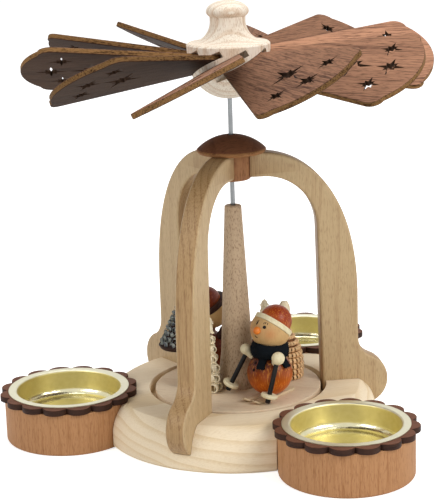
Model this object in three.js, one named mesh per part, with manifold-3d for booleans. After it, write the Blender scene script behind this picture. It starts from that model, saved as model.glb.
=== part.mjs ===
// A wooden candle carousel. Three tealights stand in turned holders around a disc base, three arched
// legs carry a domed guide above it, and the warm air turns a ten-blade wheel on a steel spindle,
// which carries a plate with two ski figures and small shaved trees.
// Lengths are in millimetres, Z points up, and the origin is the centre of the base's underside.

import * as THREE from "three";
import { mergeVertices } from "three/addons/utils/BufferGeometryUtils.js";
import Module from "manifold-3d";

// Fits and clearances
const SEAT_GAP = 0.3; // between glued or seated pieces whose touching faces are round or turned
const GLUE_GAP = 0.2; // between the small glued pieces of the figures
const RUNNING_GAP = 0.08; // radial, between the spindle and the bush or the hub it turns or slides in
const TURNING_GAP = 0.5; // under the turning plate
const OVERRUN = 2; // how far a cutting shape runs past the piece that it cuts

// Facets around a turned piece
const FINE_FACETS = 36;
const MIDDLE_FACETS = 24;
const SMALL_FACETS = 14;
const TINY_FACETS = 8;

// Base disc
const BASE_RADIUS = 54.2;
const BASE_HEIGHT = 16.6;
const BASE_SHOULDER_ARC = 12; // radius of the rounded shoulder in section
const BASE_SHOULDER_HEIGHT = 6; // where the shoulder begins
const BASE_BEVEL = 1.2;
const RECESS_RADIUS = 34.8;

// Turning plate, which lies almost flush in the recess
const PLATE_RADIUS = 32.6;
const PLATE_THICKNESS = 4.1;
const PLATE_BEVEL = 0.4;
const PLATE_DROP = 0.1; // the plate's top lies this much under the base's top

// Spindle and its two bearings
const SPINDLE_RADIUS = 0.9;
const SPINDLE_TIP_RADIUS = 0.25;
const SPINDLE_TIP_LENGTH = 1.6;
const CUP_RADIUS = 3.2; // bearing cup, set in the base under the plate
const CUP_CAVITY_RADIUS = 1.9;
const CUP_CAVITY_DEPTH = 3.3;
const CUP_CONE_DEPTH = 1;
const CUP_FLOOR = 2; // the cup's thickness under its cavity
const CUP_DROP = 0.2; // the cup's rim lies this much under the recess floor
const BUSH_WALL = 1.4;
const BUSH_LENGTH = 6;

// Centre column on the plate
const COLUMN_CLEARANCE = 10.3; // between the column's top and the guide block
const COLUMN_FOOT_RADIUS = 8.2;
const COLUMN_WAIST_RADIUS = 5.7;
const COLUMN_WAIST_HEIGHT = 18.1;
const COLUMN_TOP_RADIUS = 3.15;
const COLUMN_TOP_ROUND = 0.6;
const COLUMN_FLARE_POWER = 1.6; // exponent of the foot's flare

// Legs, guide block and domed cap
const LEG_THICKNESS = 7.6;
const LEG_TOP = 109.6; // height of the legs' flat tops and of the block's top
const LEG_FIRST_AZIMUTH = 6.6; // degrees, counted from +X
const LEG_CROWN_FLAT = 8; // radius at which the flat top ends and the outer curve begins
const LEG_CROWN_FULLNESS = 2.3; // exponent of the outer curve, 2 for an ellipse
const LEG_CROWN_DEPTH = 9.6; // depth of the leg under its flat top
const LEG_OUTER_RADIUS = 47.9;
const LEG_OUTER_CURVE_END = 49;
const LEG_INNER_RADIUS = 32.1; // at the top of the upright
const LEG_INNER_CURVE_END = 79;
const LEG_FOOT_INNER_RADIUS = 33.5;
const LEG_INNER_FLAT = 12; // radius at which the inner curve begins
const LEG_HEEL_RADIUS = 10.4; // round lobe that laps over the base's edge
const LEG_HEEL_CENTRE_RADIUS = 49.2; // its centre, from the carousel's axis
const LEG_HEEL_FILLET = 8.5;
const LEG_FOOT_SINK = 11; // how deep the leg stands in its slot
const LEG_EDGE_ROUND = 1;
const BLOCK_RADIUS = 7.3;
const BLOCK_HEIGHT = 10.4;
const BLOCK_EDGE_ROUND = 0.9;
const BLOCK_SHOULDER = 2.4; // wood left under the bush
const CAP_RADIUS = 13.3;
const CAP_RIM = 1.3;
const CAP_RIM_ROUND = 0.9;
const CAP_RISE = 5.6;
const CAP_BORE_GAP = 0.7;

// Candle holders
const HOLDER_COUNT = 3;
const HOLDER_FIRST_AZIMUTH = -54.4;
const HOLDER_DISTANCE = 66.6; // from the carousel's axis to a holder's axis
const HOLDER_RADIUS = 25.1;
const HOLDER_BEVEL = 0.9;
const HOLDER_FLOOR = 7.8; // wood under the bore
const RING_RADIUS = 26.9; // across the tips of the scallops
const RING_THICKNESS = 2.4;
const SCALLOP_COUNT = 16;
const SCALLOP_ARC = 7;
const SCALLOP_TURN = -8; // degrees, of the whole ring on its holder
const TEALIGHT_MOUTH_RADIUS = 20.2;
const TEALIGHT_WALL = 0.6;
const TEALIGHT_DEPTH = 9.8;
const TEALIGHT_FLANGE_RADIUS = 23.5;
const TEALIGHT_CORNER = 1.4;
const TEALIGHT_FLANGE_EDGE = 0.25;
const TEALIGHT_STEP_RADIUS = 12;
const TEALIGHT_STEP_RISE = 0.8;
const TEALIGHT_PLAY = 0.4; // between the metal cup and the wood around it

// Wheel hub
const HUB_RADIUS = 15.8;
const HUB_RIM_RISE = 42; // from the legs' flat tops up to the top of the hub's rim
const HUB_RIM_HEIGHT = 4.8;
const HUB_BOWL_DEPTH = 16.5;
const HUB_BOWL_FLAT_RADIUS = 4;
const HUB_EDGE_ROUND = 0.7;
const HUB_NECK_RADIUS = 6.7;
const HUB_NECK_RISE = 8; // from the rim's top up to the neck
const KNOB_RADIUS = 8.05;
const KNOB_RISE = 7.6; // from the neck up to the top of the knob
const KNOB_MIDDLE_SHARE = 0.45; // where the knob is widest, of its rise
const HUB_OGEE_POWER = 0.9; // exponent of the curve from the rim up to the neck
const HUB_GRIP = 16.5; // how far the spindle's end reaches into the hub

// Wheel blades
const BLADE_COUNT = 10;
const BLADE_FIRST_AZIMUTH = -102.3;
const BLADE_PITCH = 26.3;
const BLADE_DROP = 7.5; // from the top of the hub's rim down to the blades' radial centre lines
const BLADE_THICKNESS = 2.1;
const BLADE_ROOT_RADIUS = 9.6;
const BLADE_ROOT_HALF_WIDTH = 7.2;
const BLADE_FLARE = 14.7; // degrees that each side opens outward
const BLADE_SHOULDER_RADIUS = 66.5; // distance of the shoulder lobes' centres
const BLADE_LOBE_SHARE = 0.0692; // radius of a shoulder lobe, of that distance
const BLADE_TIP_SHARE = 1.1714; // distance of the blade's tip, of that distance
const BLADE_TIP_ARC_SHARE = 0.4015; // radius of the tip's large arc, of that distance
const SLOT_HALF_LENGTH = 11;
const SLOT_PLAY = 0.15;

// Ski figures, in a frame of their own: X forward, Y to the figure's left, Z up from the plate
const FIGURE_DISTANCE = 19.6;
const FIGURE_AZIMUTH = -50.8;
const FIGURE_HEADING = -80.2; // degrees from the outward direction to where the figure faces
const BALL_RADIUS = 8.75;
const BALL_SINK = 0.35; // flat under the body where it stands on the skis
const NECK_RADIUS = 4;
const NECK_RISE = 0.95; // from the top of the ball to the flat that carries the head
const HEAD_RADIUS = 7.75;
const HEAD_SINK = 0.4;
// How each skier holds its head: degrees back and to its left, and set forward and to its left
const FRONT_HEAD_POSE = { back: 39, side: 11.5, forward: -1, left: 0 };
const REAR_HEAD_POSE = { back: 26, side: 16.4, forward: 1.5, left: -1.7 };
const BAND_RISE = 2.15; // from the middle of the head to the middle of the band
const BAND_RADIUS = 7.8;
const BAND_WIDTH = 2;
const BAND_ROUND = 0.35;
const HAT_RADIUS = 6.25;
const HAT_RISE = 0.8; // from the band's top to the middle of the hat's ball
const NOSE_RADIUS = 1.5;
const NOSE_PROUD_SHARE = 0.33; // of its radius, from the head to the nose's middle
const NOSE_LIFT = 10.5; // degrees above the level line
const SCARF_RADIUS = 7.5;
const SCARF_HEIGHT = 5.6;
const SCARF_RISE = 3.2; // above the neck's top
const SCARF_TAIL_WIDTH = 3.2;
const SCARF_TAIL_THICKNESS = 0.9;
const SCARF_TAIL_TOP = 62; // degrees above the level line
const SCARF_TAIL_TURNS = [24, 86]; // degrees to the left of straight ahead
const SCARF_TAIL_ENDS = [22, 26]; // degrees above the level line
const MITTEN_RADIUS = 2.5;
const MITTEN_HALF_LENGTH = 3.5;
const MITTEN_END_TURN = 72; // degrees from the peg's widest ring to its flat ends
const MITTEN_REACH = 12.6; // from the centre of the body
const MITTEN_TURN = 58; // degrees to each side
const MITTEN_LIFTS = { left: 40, right: 45 }; // degrees up
const POLE_RADIUS = 0.8;
const POLE_TIP_SHARE = 0.6; // radius of the pole's blunt tip, of the pole's radius
const BASKET_RADIUS = 3;
const BASKET_THICKNESS = 1.1;
const BASKET_RISE = 2.9; // along the pole from its tip
const SKI_LENGTH = 24;
const SKI_WIDTH = 2.8;
const SKI_THICKNESS = 1;
const SKI_TAIL_SHARE = 0.46; // share of the ski that lies behind the body's centre
const SKI_TIP_RISE = 1.5;
const SKI_TIP_LENGTH = 4;
const SKI_BEND_SHARE = 0.33; // of the tip's rise, halfway along the tip
const SKI_TIP_SHARE = 0.7; // thickness of the tip, of the ski's
const SKI_SPREAD = 2.4; // from the middle to each ski's middle

// Trees of curled shavings
const SLIM_TREE_HEIGHT = 31;
const SLIM_TREE_RADIUS = 4.5;
const BACK_TREE_HEIGHT = 28.9;
const BROAD_TREE_HEIGHT = 31.4;
const BROAD_TREE_RADIUS = 7.6;
const DARK_TREE_TOP = 33.5; // above the plate
const DARK_TREE_HEIGHT = 17.2;
const DARK_TREE_RADIUS = 8.2;
const TRUNK_RADIUS = 0.9;
const TRUNK_REACH = 5; // how far the trunk runs up into the crown
// Tiers of each kind of tree, curls around a tier, and the turn from one tier to the next
const SLIM_CURLS = { tiers: 7, around: 7, twist: 0.2 };
const BROAD_CURLS = { tiers: 9, around: 8, twist: 0.1 };
const DARK_CURLS = { tiers: 5, around: 7, twist: 0.25 };

// Places of the trees on the plate: distance from the axis and azimuth
const FRONT_TREE_DISTANCE = 13.8;
const FRONT_TREE_AZIMUTH = 219;
const BACK_TREE_DISTANCE = 23.1;
const BACK_TREE_AZIMUTH = 59.9;
const BROAD_TREE_DISTANCE = 20.5;
const BROAD_TREE_AZIMUTH = 20.5;
const DARK_TREE_DISTANCE = 22.7;
const DARK_TREE_AZIMUTH = 186;

// Heights that follow from the sizes above
const PLATE_TOP = BASE_HEIGHT - PLATE_DROP;
const PLATE_UNDERSIDE = PLATE_TOP - PLATE_THICKNESS;
const RECESS_FLOOR = PLATE_UNDERSIDE - TURNING_GAP;
const CUP_TOP = RECESS_FLOOR - CUP_DROP;
const CUP_CAVITY_FLOOR = CUP_TOP - CUP_CAVITY_DEPTH;
const CUP_BOTTOM = CUP_CAVITY_FLOOR - CUP_CONE_DEPTH - CUP_FLOOR;
const SPINDLE_BOTTOM = CUP_CAVITY_FLOOR - CUP_CONE_DEPTH + SEAT_GAP;
const LEG_FOOT = BASE_HEIGHT - LEG_FOOT_SINK;
const BLOCK_BOTTOM = LEG_TOP - BLOCK_HEIGHT;
const BUSH_BOTTOM = BLOCK_BOTTOM + BLOCK_SHOULDER;
const COLUMN_TOP = BLOCK_BOTTOM - COLUMN_CLEARANCE;
const HUB_RIM_TOP = LEG_TOP + HUB_RIM_RISE;
const BLADE_HEIGHT = HUB_RIM_TOP - BLADE_DROP;
const HUB_BOWL_TOP = HUB_RIM_TOP - HUB_RIM_HEIGHT;
const HUB_BOTTOM = HUB_BOWL_TOP - HUB_BOWL_DEPTH;
const SPINDLE_TOP = HUB_BOTTOM + HUB_GRIP;
const RING_TOP = BASE_HEIGHT + RING_THICKNESS;
const BLADE_TIP_RADIUS = BLADE_SHOULDER_RADIUS * BLADE_TIP_SHARE;
const BLADE_TIP_ARC = BLADE_SHOULDER_RADIUS * BLADE_TIP_ARC_SHARE;
const BLADE_LOBE_ARC = BLADE_SHOULDER_RADIUS * BLADE_LOBE_SHARE;

const wasm = await Module();
wasm.setup();

const radians = THREE.MathUtils.degToRad;

// A closed geometry as a solid that can be cut and joined
function solidOf(geometry) {
  const bare = geometry.index ? geometry.toNonIndexed() : geometry.clone();
  bare.deleteAttribute("normal");
  bare.deleteAttribute("uv");
  const merged = mergeVertices(bare, 1e-4);
  const corners = merged.index.array;
  const kept = [];
  for (let i = 0; i < corners.length; i += 3) {
    const [a, b, c] = [corners[i], corners[i + 1], corners[i + 2]];
    if (a !== b && b !== c && c !== a) kept.push(a, b, c);
  }
  return new wasm.Manifold(
    new wasm.Mesh({
      numProp: 3,
      vertProperties: Float32Array.from(merged.attributes.position.array),
      triVerts: Uint32Array.from(kept),
    }),
  );
}

// A solid as a geometry with flat facets
function geometryOf(solid) {
  const mesh = solid.getMesh();
  const places = new Float32Array(mesh.numVert * 3);
  for (let i = 0; i < mesh.numVert; i++) {
    const from = i * mesh.numProp;
    places.set(mesh.vertProperties.subarray(from, from + 3), i * 3);
  }
  const geometry = new THREE.BufferGeometry();
  geometry.setAttribute("position", new THREE.BufferAttribute(places, 3));
  geometry.setIndex(new THREE.BufferAttribute(Uint32Array.from(mesh.triVerts), 1));
  geometry.computeVertexNormals();
  return geometry;
}

// The first geometry without the space of the others
function cut(geometry, ...cutters) {
  let solid = solidOf(geometry);
  for (const cutter of cutters) solid = solid.subtract(solidOf(cutter));
  return geometryOf(solid);
}

// Overlapping geometries as one body
function join(geometry, ...others) {
  let solid = solidOf(geometry);
  for (const other of others) solid = solid.add(solidOf(other));
  return geometryOf(solid);
}

// A turned piece about Z from [radius, height] pairs, listed upward on the outside
function turned(profile, facets) {
  const points = profile.map(([radius, height]) => new THREE.Vector2(radius, height));
  return new THREE.LatheGeometry(points, facets).rotateX(Math.PI / 2);
}

// A ring-shaped turned piece, whose profile closes on itself
function turnedRing(profile, facets) {
  return turned([...profile, profile[0]], facets);
}

// The corner radius of a faceted hole whose flats stay outside a circle
function around(radius, facets) {
  return radius / Math.cos(Math.PI / facets);
}

// A straight borer or plug about Z
function drill(radius, from, to, facets) {
  const profile = [
    [0, from],
    [radius, from],
    [radius, to],
    [0, to],
  ];
  return turned(profile, facets);
}

// Points along an arc or an ellipse, both ends included; angles in degrees
function arc(centreX, centreY, reachX, reachY, start, end, steps) {
  const points = [];
  for (let i = 0; i <= steps; i++) {
    const angle = radians(start + ((end - start) * i) / steps);
    points.push([centreX + reachX * Math.cos(angle), centreY + reachY * Math.sin(angle)]);
  }
  return points;
}

// A flat board of the given outline and holes, standing on Z = 0
function board(outline, thickness, holes = [], edgeRound = 0) {
  const shape = new THREE.Shape(outline.map(([x, y]) => new THREE.Vector2(x, y)));
  for (const hole of holes) {
    shape.holes.push(new THREE.Path(hole.map(([x, y]) => new THREE.Vector2(x, y))));
  }
  const settings = {
    depth: thickness - 2 * edgeRound,
    bevelEnabled: edgeRound > 0,
    bevelThickness: edgeRound,
    bevelSize: edgeRound,
    bevelOffset: -edgeRound,
    bevelSegments: 1,
  };
  return new THREE.ExtrudeGeometry(shape, settings).translate(0, 0, edgeRound);
}

// A box between two corners
function block(low, high) {
  const size = high.map((value, i) => value - low[i]);
  const middle = high.map((value, i) => (value + low[i]) / 2);
  return new THREE.BoxGeometry(...size).translate(...middle);
}

// Finishes: colour, roughness and metalness
const FINISHES = {
  maple: [0xdfcaa6, 0.6, 0],
  plateMaple: [0xd8c3a8, 0.62, 0],
  beech: [0xc79670, 0.62, 0],
  alder: [0xc4a072, 0.6, 0],
  pearwood: [0xb9a088, 0.62, 0],
  walnut: [0x6e4536, 0.6, 0],
  brass: [0xcfc38a, 0.25, 1],
  steel: [0x8a8d8e, 0.3, 1],
  redStain: [0xa5391a, 0.35, 0],
  orangeStain: [0x9a3e18, 0.35, 0],
  darkRedStain: [0x6b2216, 0.4, 0],
  skin: [0xcfae7c, 0.5, 0],
  nose: [0xe9882e, 0.4, 0],
  cream: [0xe3d3a5, 0.55, 0],
  darkBrown: [0x3a2018, 0.5, 0],
  navy: [0x14181f, 0.8, 0],
  black: [0x17171a, 0.45, 0],
  paleLime: [0xe2d6ae, 0.6, 0],
  shaving: [0xd9c49a, 0.7, 0],
  tanShaving: [0xb98a55, 0.7, 0],
  darkShaving: [0x34322c, 0.7, 0],
};

const carousel = new THREE.Group();

// Puts a geometry into a group as one named piece
function place(group, name, geometry, finish) {
  const [color, roughness, metalness] = FINISHES[finish];
  const material = new THREE.MeshStandardMaterial({ color, roughness, metalness });
  const mesh = new THREE.Mesh(geometry, material);
  mesh.name = name;
  group.add(mesh);
  return mesh;
}

// A group at a distance from the axis, turned to its own azimuth
function groupAt(distance, azimuth, height = 0, turn = 0) {
  const angle = radians(azimuth);
  const group = new THREE.Group();
  group.position.set(distance * Math.cos(angle), distance * Math.sin(angle), height);
  group.rotation.z = radians(turn);
  carousel.add(group);
  return group;
}

const legAzimuths = [0, 1, 2].map((i) => LEG_FIRST_AZIMUTH + (i * 360) / 3);
const holderAzimuths = [];
for (let i = 0; i < HOLDER_COUNT; i++) {
  holderAzimuths.push(HOLDER_FIRST_AZIMUTH + (i * 360) / HOLDER_COUNT);
}

// Base disc with its recess, bearing hole, holder pockets and leg slots
function baseDisc() {
  const arcCentre = BASE_RADIUS - BASE_SHOULDER_ARC;
  const arcRise = BASE_HEIGHT - BASE_SHOULDER_HEIGHT;
  const arcEnd = THREE.MathUtils.radToDeg(Math.asin(Math.min(1, arcRise / BASE_SHOULDER_ARC)));
  const shoulder = arc(
    arcCentre,
    BASE_SHOULDER_HEIGHT,
    BASE_SHOULDER_ARC,
    BASE_SHOULDER_ARC,
    0,
    arcEnd,
    4,
  );
  const bearingHole = around(CUP_RADIUS + SEAT_GAP, FINE_FACETS);
  const disc = turned(
    [
      [0, 0],
      [BASE_RADIUS - BASE_BEVEL, 0],
      [BASE_RADIUS, BASE_BEVEL],
      ...shoulder,
      [RECESS_RADIUS, BASE_HEIGHT],
      [RECESS_RADIUS, RECESS_FLOOR],
      [bearingHole, RECESS_FLOOR],
      [bearingHole, CUP_BOTTOM],
      [0, CUP_BOTTOM],
    ],
    FINE_FACETS,
  );
  const cutters = [];
  const pocket = around(HOLDER_RADIUS + SEAT_GAP, FINE_FACETS);
  for (const azimuth of holderAzimuths) {
    const angle = radians(azimuth);
    cutters.push(
      drill(pocket, -OVERRUN, BASE_HEIGHT + OVERRUN, FINE_FACETS).translate(
        HOLDER_DISTANCE * Math.cos(angle),
        HOLDER_DISTANCE * Math.sin(angle),
        0,
      ),
    );
  }
  const halfSlot = LEG_THICKNESS / 2 + SEAT_GAP;
  for (const azimuth of legAzimuths) {
    const low = [LEG_FOOT_INNER_RADIUS - SEAT_GAP, -halfSlot, LEG_FOOT];
    const high = [BASE_RADIUS + LEG_HEEL_RADIUS, halfSlot, BASE_HEIGHT + OVERRUN];
    cutters.push(block(low, high).rotateZ(radians(azimuth)));
  }
  return cut(disc, ...cutters);
}

// One arched leg, drawn as radius against height, then turned to its azimuth
function leg(azimuth) {
  const bottom = LEG_FOOT;
  const heelHeight = bottom + LEG_HEEL_RADIUS;
  const filletX = LEG_OUTER_RADIUS + LEG_HEEL_FILLET;
  const reach = LEG_HEEL_RADIUS + LEG_HEEL_FILLET;
  const across = filletX - LEG_HEEL_CENTRE_RADIUS;
  const filletZ = heelHeight + Math.sqrt(reach * reach - across * across);
  const turn = THREE.MathUtils.radToDeg(Math.atan2(filletZ - heelHeight, across));
  const crown = [];
  const crownSteps = 12;
  for (let i = 0; i <= crownSteps; i++) {
    const sweep = (Math.PI / 2) * (1 - i / crownSteps);
    const power = 2 / LEG_CROWN_FULLNESS;
    const outward = Math.max(0, Math.cos(sweep)) ** power;
    const upward = Math.max(0, Math.sin(sweep)) ** power;
    crown.push([
      LEG_CROWN_FLAT + (LEG_OUTER_RADIUS - LEG_CROWN_FLAT) * outward,
      LEG_OUTER_CURVE_END + (LEG_TOP - LEG_OUTER_CURVE_END) * upward,
    ]);
  }
  const fillet = arc(filletX, filletZ, LEG_HEEL_FILLET, LEG_HEEL_FILLET, 180, 180 + turn, 5);
  const heel = arc(
    LEG_HEEL_CENTRE_RADIUS,
    heelHeight,
    LEG_HEEL_RADIUS,
    LEG_HEEL_RADIUS,
    turn,
    -90,
    9,
  );
  const underTop = LEG_TOP - LEG_CROWN_DEPTH;
  const inner = arc(
    LEG_INNER_FLAT,
    LEG_INNER_CURVE_END,
    LEG_INNER_RADIUS - LEG_INNER_FLAT,
    underTop - LEG_INNER_CURVE_END,
    0,
    90,
    8,
  );
  const outline = [
    [0, LEG_TOP],
    ...crown,
    ...fillet,
    ...heel.slice(1),
    [LEG_FOOT_INNER_RADIUS, bottom],
    ...inner,
    [0, underTop],
  ].reverse();
  const upright = board(outline, LEG_THICKNESS, [], LEG_EDGE_ROUND)
    .rotateX(Math.PI / 2)
    .translate(0, LEG_THICKNESS / 2, 0);
  const seat = around(BLOCK_RADIUS + SEAT_GAP, FINE_FACETS);
  const seatCutter = drill(seat, BLOCK_BOTTOM - OVERRUN, LEG_TOP + OVERRUN, FINE_FACETS);
  const backCutter = block(
    [-seat - OVERRUN, -LEG_THICKNESS, BLOCK_BOTTOM - OVERRUN],
    [0, LEG_THICKNESS, LEG_TOP + OVERRUN],
  );
  return cut(upright, seatCutter, backCutter).rotateZ(radians(azimuth));
}

// Guide block under the cap: a turned plug that holds the bush
function guideBlock() {
  const bush = around(SPINDLE_RADIUS + BUSH_WALL + SEAT_GAP, MIDDLE_FACETS);
  const through = around(SPINDLE_RADIUS + CAP_BORE_GAP, MIDDLE_FACETS);
  return turnedRing(
    [
      [through, BLOCK_BOTTOM],
      [BLOCK_RADIUS - BLOCK_EDGE_ROUND, BLOCK_BOTTOM],
      [BLOCK_RADIUS, BLOCK_BOTTOM + BLOCK_EDGE_ROUND],
      [BLOCK_RADIUS, LEG_TOP],
      [bush, LEG_TOP],
      [bush, BUSH_BOTTOM],
      [through, BUSH_BOTTOM],
    ],
    MIDDLE_FACETS,
  );
}

// Bush in which the spindle turns
function guideBush() {
  const bore = around(SPINDLE_RADIUS + RUNNING_GAP, SMALL_FACETS);
  const outside = SPINDLE_RADIUS + BUSH_WALL;
  return turnedRing(
    [
      [bore, BUSH_BOTTOM],
      [outside, BUSH_BOTTOM],
      [outside, BUSH_BOTTOM + BUSH_LENGTH],
      [bore, BUSH_BOTTOM + BUSH_LENGTH],
    ],
    SMALL_FACETS,
  );
}

// Domed cap over the guide block and the legs' upper ends
function domeCap() {
  const bore = around(SPINDLE_RADIUS + CAP_BORE_GAP, MIDDLE_FACETS);
  const rimTop = LEG_TOP + CAP_RIM;
  const curve = (CAP_RADIUS * CAP_RADIUS + CAP_RISE * CAP_RISE) / (2 * CAP_RISE);
  const centre = rimTop + CAP_RISE - curve;
  const low = THREE.MathUtils.radToDeg(Math.acos(CAP_RADIUS / curve));
  const high = THREE.MathUtils.radToDeg(Math.acos(bore / curve));
  return turnedRing(
    [
      [bore, LEG_TOP],
      [CAP_RADIUS - CAP_RIM_ROUND, LEG_TOP],
      [CAP_RADIUS, LEG_TOP + CAP_RIM_ROUND],
      ...arc(0, centre, curve, curve, low, high, 6),
    ],
    MIDDLE_FACETS,
  );
}

// Bearing cup under the spindle's tip
function bearingCup() {
  return turned(
    [
      [0, CUP_BOTTOM],
      [CUP_RADIUS, CUP_BOTTOM],
      [CUP_RADIUS, CUP_TOP],
      [CUP_CAVITY_RADIUS, CUP_TOP],
      [CUP_CAVITY_RADIUS, CUP_CAVITY_FLOOR],
      [0, CUP_CAVITY_FLOOR - CUP_CONE_DEPTH],
    ],
    SMALL_FACETS,
  );
}

// Steel spindle from the bearing cup up into the wheel's hub
function spindle() {
  return turned(
    [
      [0, SPINDLE_BOTTOM],
      [SPINDLE_TIP_RADIUS, SPINDLE_BOTTOM],
      [SPINDLE_RADIUS, SPINDLE_BOTTOM + SPINDLE_TIP_LENGTH],
      [SPINDLE_RADIUS, SPINDLE_TOP],
      [0, SPINDLE_TOP],
    ],
    SMALL_FACETS,
  );
}

// Turning plate
function turningPlate() {
  const bore = around(SPINDLE_RADIUS + SEAT_GAP, FINE_FACETS);
  return turnedRing(
    [
      [bore, PLATE_UNDERSIDE],
      [PLATE_RADIUS - PLATE_BEVEL, PLATE_UNDERSIDE],
      [PLATE_RADIUS, PLATE_UNDERSIDE + PLATE_BEVEL],
      [PLATE_RADIUS, PLATE_TOP - PLATE_BEVEL],
      [PLATE_RADIUS - PLATE_BEVEL, PLATE_TOP],
      [bore, PLATE_TOP],
    ],
    FINE_FACETS,
  );
}

// Slender column that hides the spindle above the plate
function centreColumn() {
  const bore = around(SPINDLE_RADIUS + SEAT_GAP, MIDDLE_FACETS);
  const flare = [];
  const flareSteps = 5;
  for (let i = 0; i <= flareSteps; i++) {
    const share = i / flareSteps;
    const radius =
      COLUMN_WAIST_RADIUS +
      (COLUMN_FOOT_RADIUS - COLUMN_WAIST_RADIUS) * (1 - share) ** COLUMN_FLARE_POWER;
    flare.push([radius, PLATE_TOP + COLUMN_WAIST_HEIGHT * share]);
  }
  return turnedRing(
    [
      [bore, PLATE_TOP],
      ...flare,
      [COLUMN_TOP_RADIUS, COLUMN_TOP - COLUMN_TOP_ROUND],
      [COLUMN_TOP_RADIUS - COLUMN_TOP_ROUND, COLUMN_TOP],
      [bore, COLUMN_TOP],
    ],
    MIDDLE_FACETS,
  );
}

// Turned body of a candle holder, bored for the metal cup
function holderBody() {
  const bore = around(TEALIGHT_MOUTH_RADIUS + TEALIGHT_WALL + TEALIGHT_PLAY, FINE_FACETS);
  return turned(
    [
      [0, 0],
      [HOLDER_RADIUS - HOLDER_BEVEL, 0],
      [HOLDER_RADIUS, HOLDER_BEVEL],
      [HOLDER_RADIUS, BASE_HEIGHT],
      [bore, BASE_HEIGHT],
      [bore, HOLDER_FLOOR],
      [0, HOLDER_FLOOR],
    ],
    FINE_FACETS,
  );
}

// Scalloped ring on top of a holder
function scallopedRing() {
  const centreDistance = RING_RADIUS - SCALLOP_ARC;
  const halfPitch = Math.PI / SCALLOP_COUNT;
  const notchSide = centreDistance * Math.sin(halfPitch);
  const notchReach =
    centreDistance * Math.cos(halfPitch) + Math.sqrt(SCALLOP_ARC ** 2 - notchSide ** 2);
  const swing = Math.atan2(
    notchReach * Math.sin(halfPitch),
    notchReach * Math.cos(halfPitch) - centreDistance,
  );
  const outline = [];
  const steps = 4;
  for (let scallop = 0; scallop < SCALLOP_COUNT; scallop++) {
    const middle = 2 * halfPitch * scallop;
    for (let i = 0; i < steps; i++) {
      const angle = middle - swing + (2 * swing * i) / steps;
      outline.push([
        centreDistance * Math.cos(middle) + SCALLOP_ARC * Math.cos(angle),
        centreDistance * Math.sin(middle) + SCALLOP_ARC * Math.sin(angle),
      ]);
    }
  }
  const mouth = around(TEALIGHT_MOUTH_RADIUS + TEALIGHT_WALL + TEALIGHT_PLAY, FINE_FACETS);
  const hole = arc(0, 0, mouth, mouth, 0, 360, FINE_FACETS).slice(1);
  return board(outline, RING_THICKNESS, [hole])
    .rotateZ(radians(SCALLOP_TURN))
    .translate(0, 0, BASE_HEIGHT);
}

// Metal tealight cup, whose flange lies on the ring
function tealightCup() {
  const rim = RING_TOP + TEALIGHT_FLANGE_EDGE;
  const floor = rim - TEALIGHT_DEPTH;
  const outside = TEALIGHT_MOUTH_RADIUS + TEALIGHT_WALL;
  return turned(
    [
      [0, floor - TEALIGHT_WALL],
      [outside - TEALIGHT_CORNER, floor - TEALIGHT_WALL],
      [outside, floor - TEALIGHT_WALL + TEALIGHT_CORNER],
      [outside, RING_TOP],
      [TEALIGHT_FLANGE_RADIUS, RING_TOP],
      [TEALIGHT_FLANGE_RADIUS, rim],
      [TEALIGHT_MOUTH_RADIUS + TEALIGHT_FLANGE_EDGE, rim],
      [TEALIGHT_MOUTH_RADIUS, rim - TEALIGHT_FLANGE_EDGE],
      [TEALIGHT_MOUTH_RADIUS, floor + TEALIGHT_CORNER - TEALIGHT_WALL],
      [TEALIGHT_MOUTH_RADIUS - TEALIGHT_CORNER + TEALIGHT_WALL, floor],
      [TEALIGHT_STEP_RADIUS, floor],
      [TEALIGHT_STEP_RADIUS - TEALIGHT_STEP_RISE, floor + TEALIGHT_STEP_RISE],
      [0, floor + TEALIGHT_STEP_RISE],
    ],
    MIDDLE_FACETS,
  );
}

// Slots and blades share one placing: pitched about their own radius, then turned about the axis
function placeOnWheel(geometry, index) {
  const azimuth = BLADE_FIRST_AZIMUTH + (index * 360) / BLADE_COUNT;
  return geometry
    .rotateX(radians(BLADE_PITCH))
    .rotateZ(radians(azimuth))
    .translate(0, 0, BLADE_HEIGHT);
}

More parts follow.
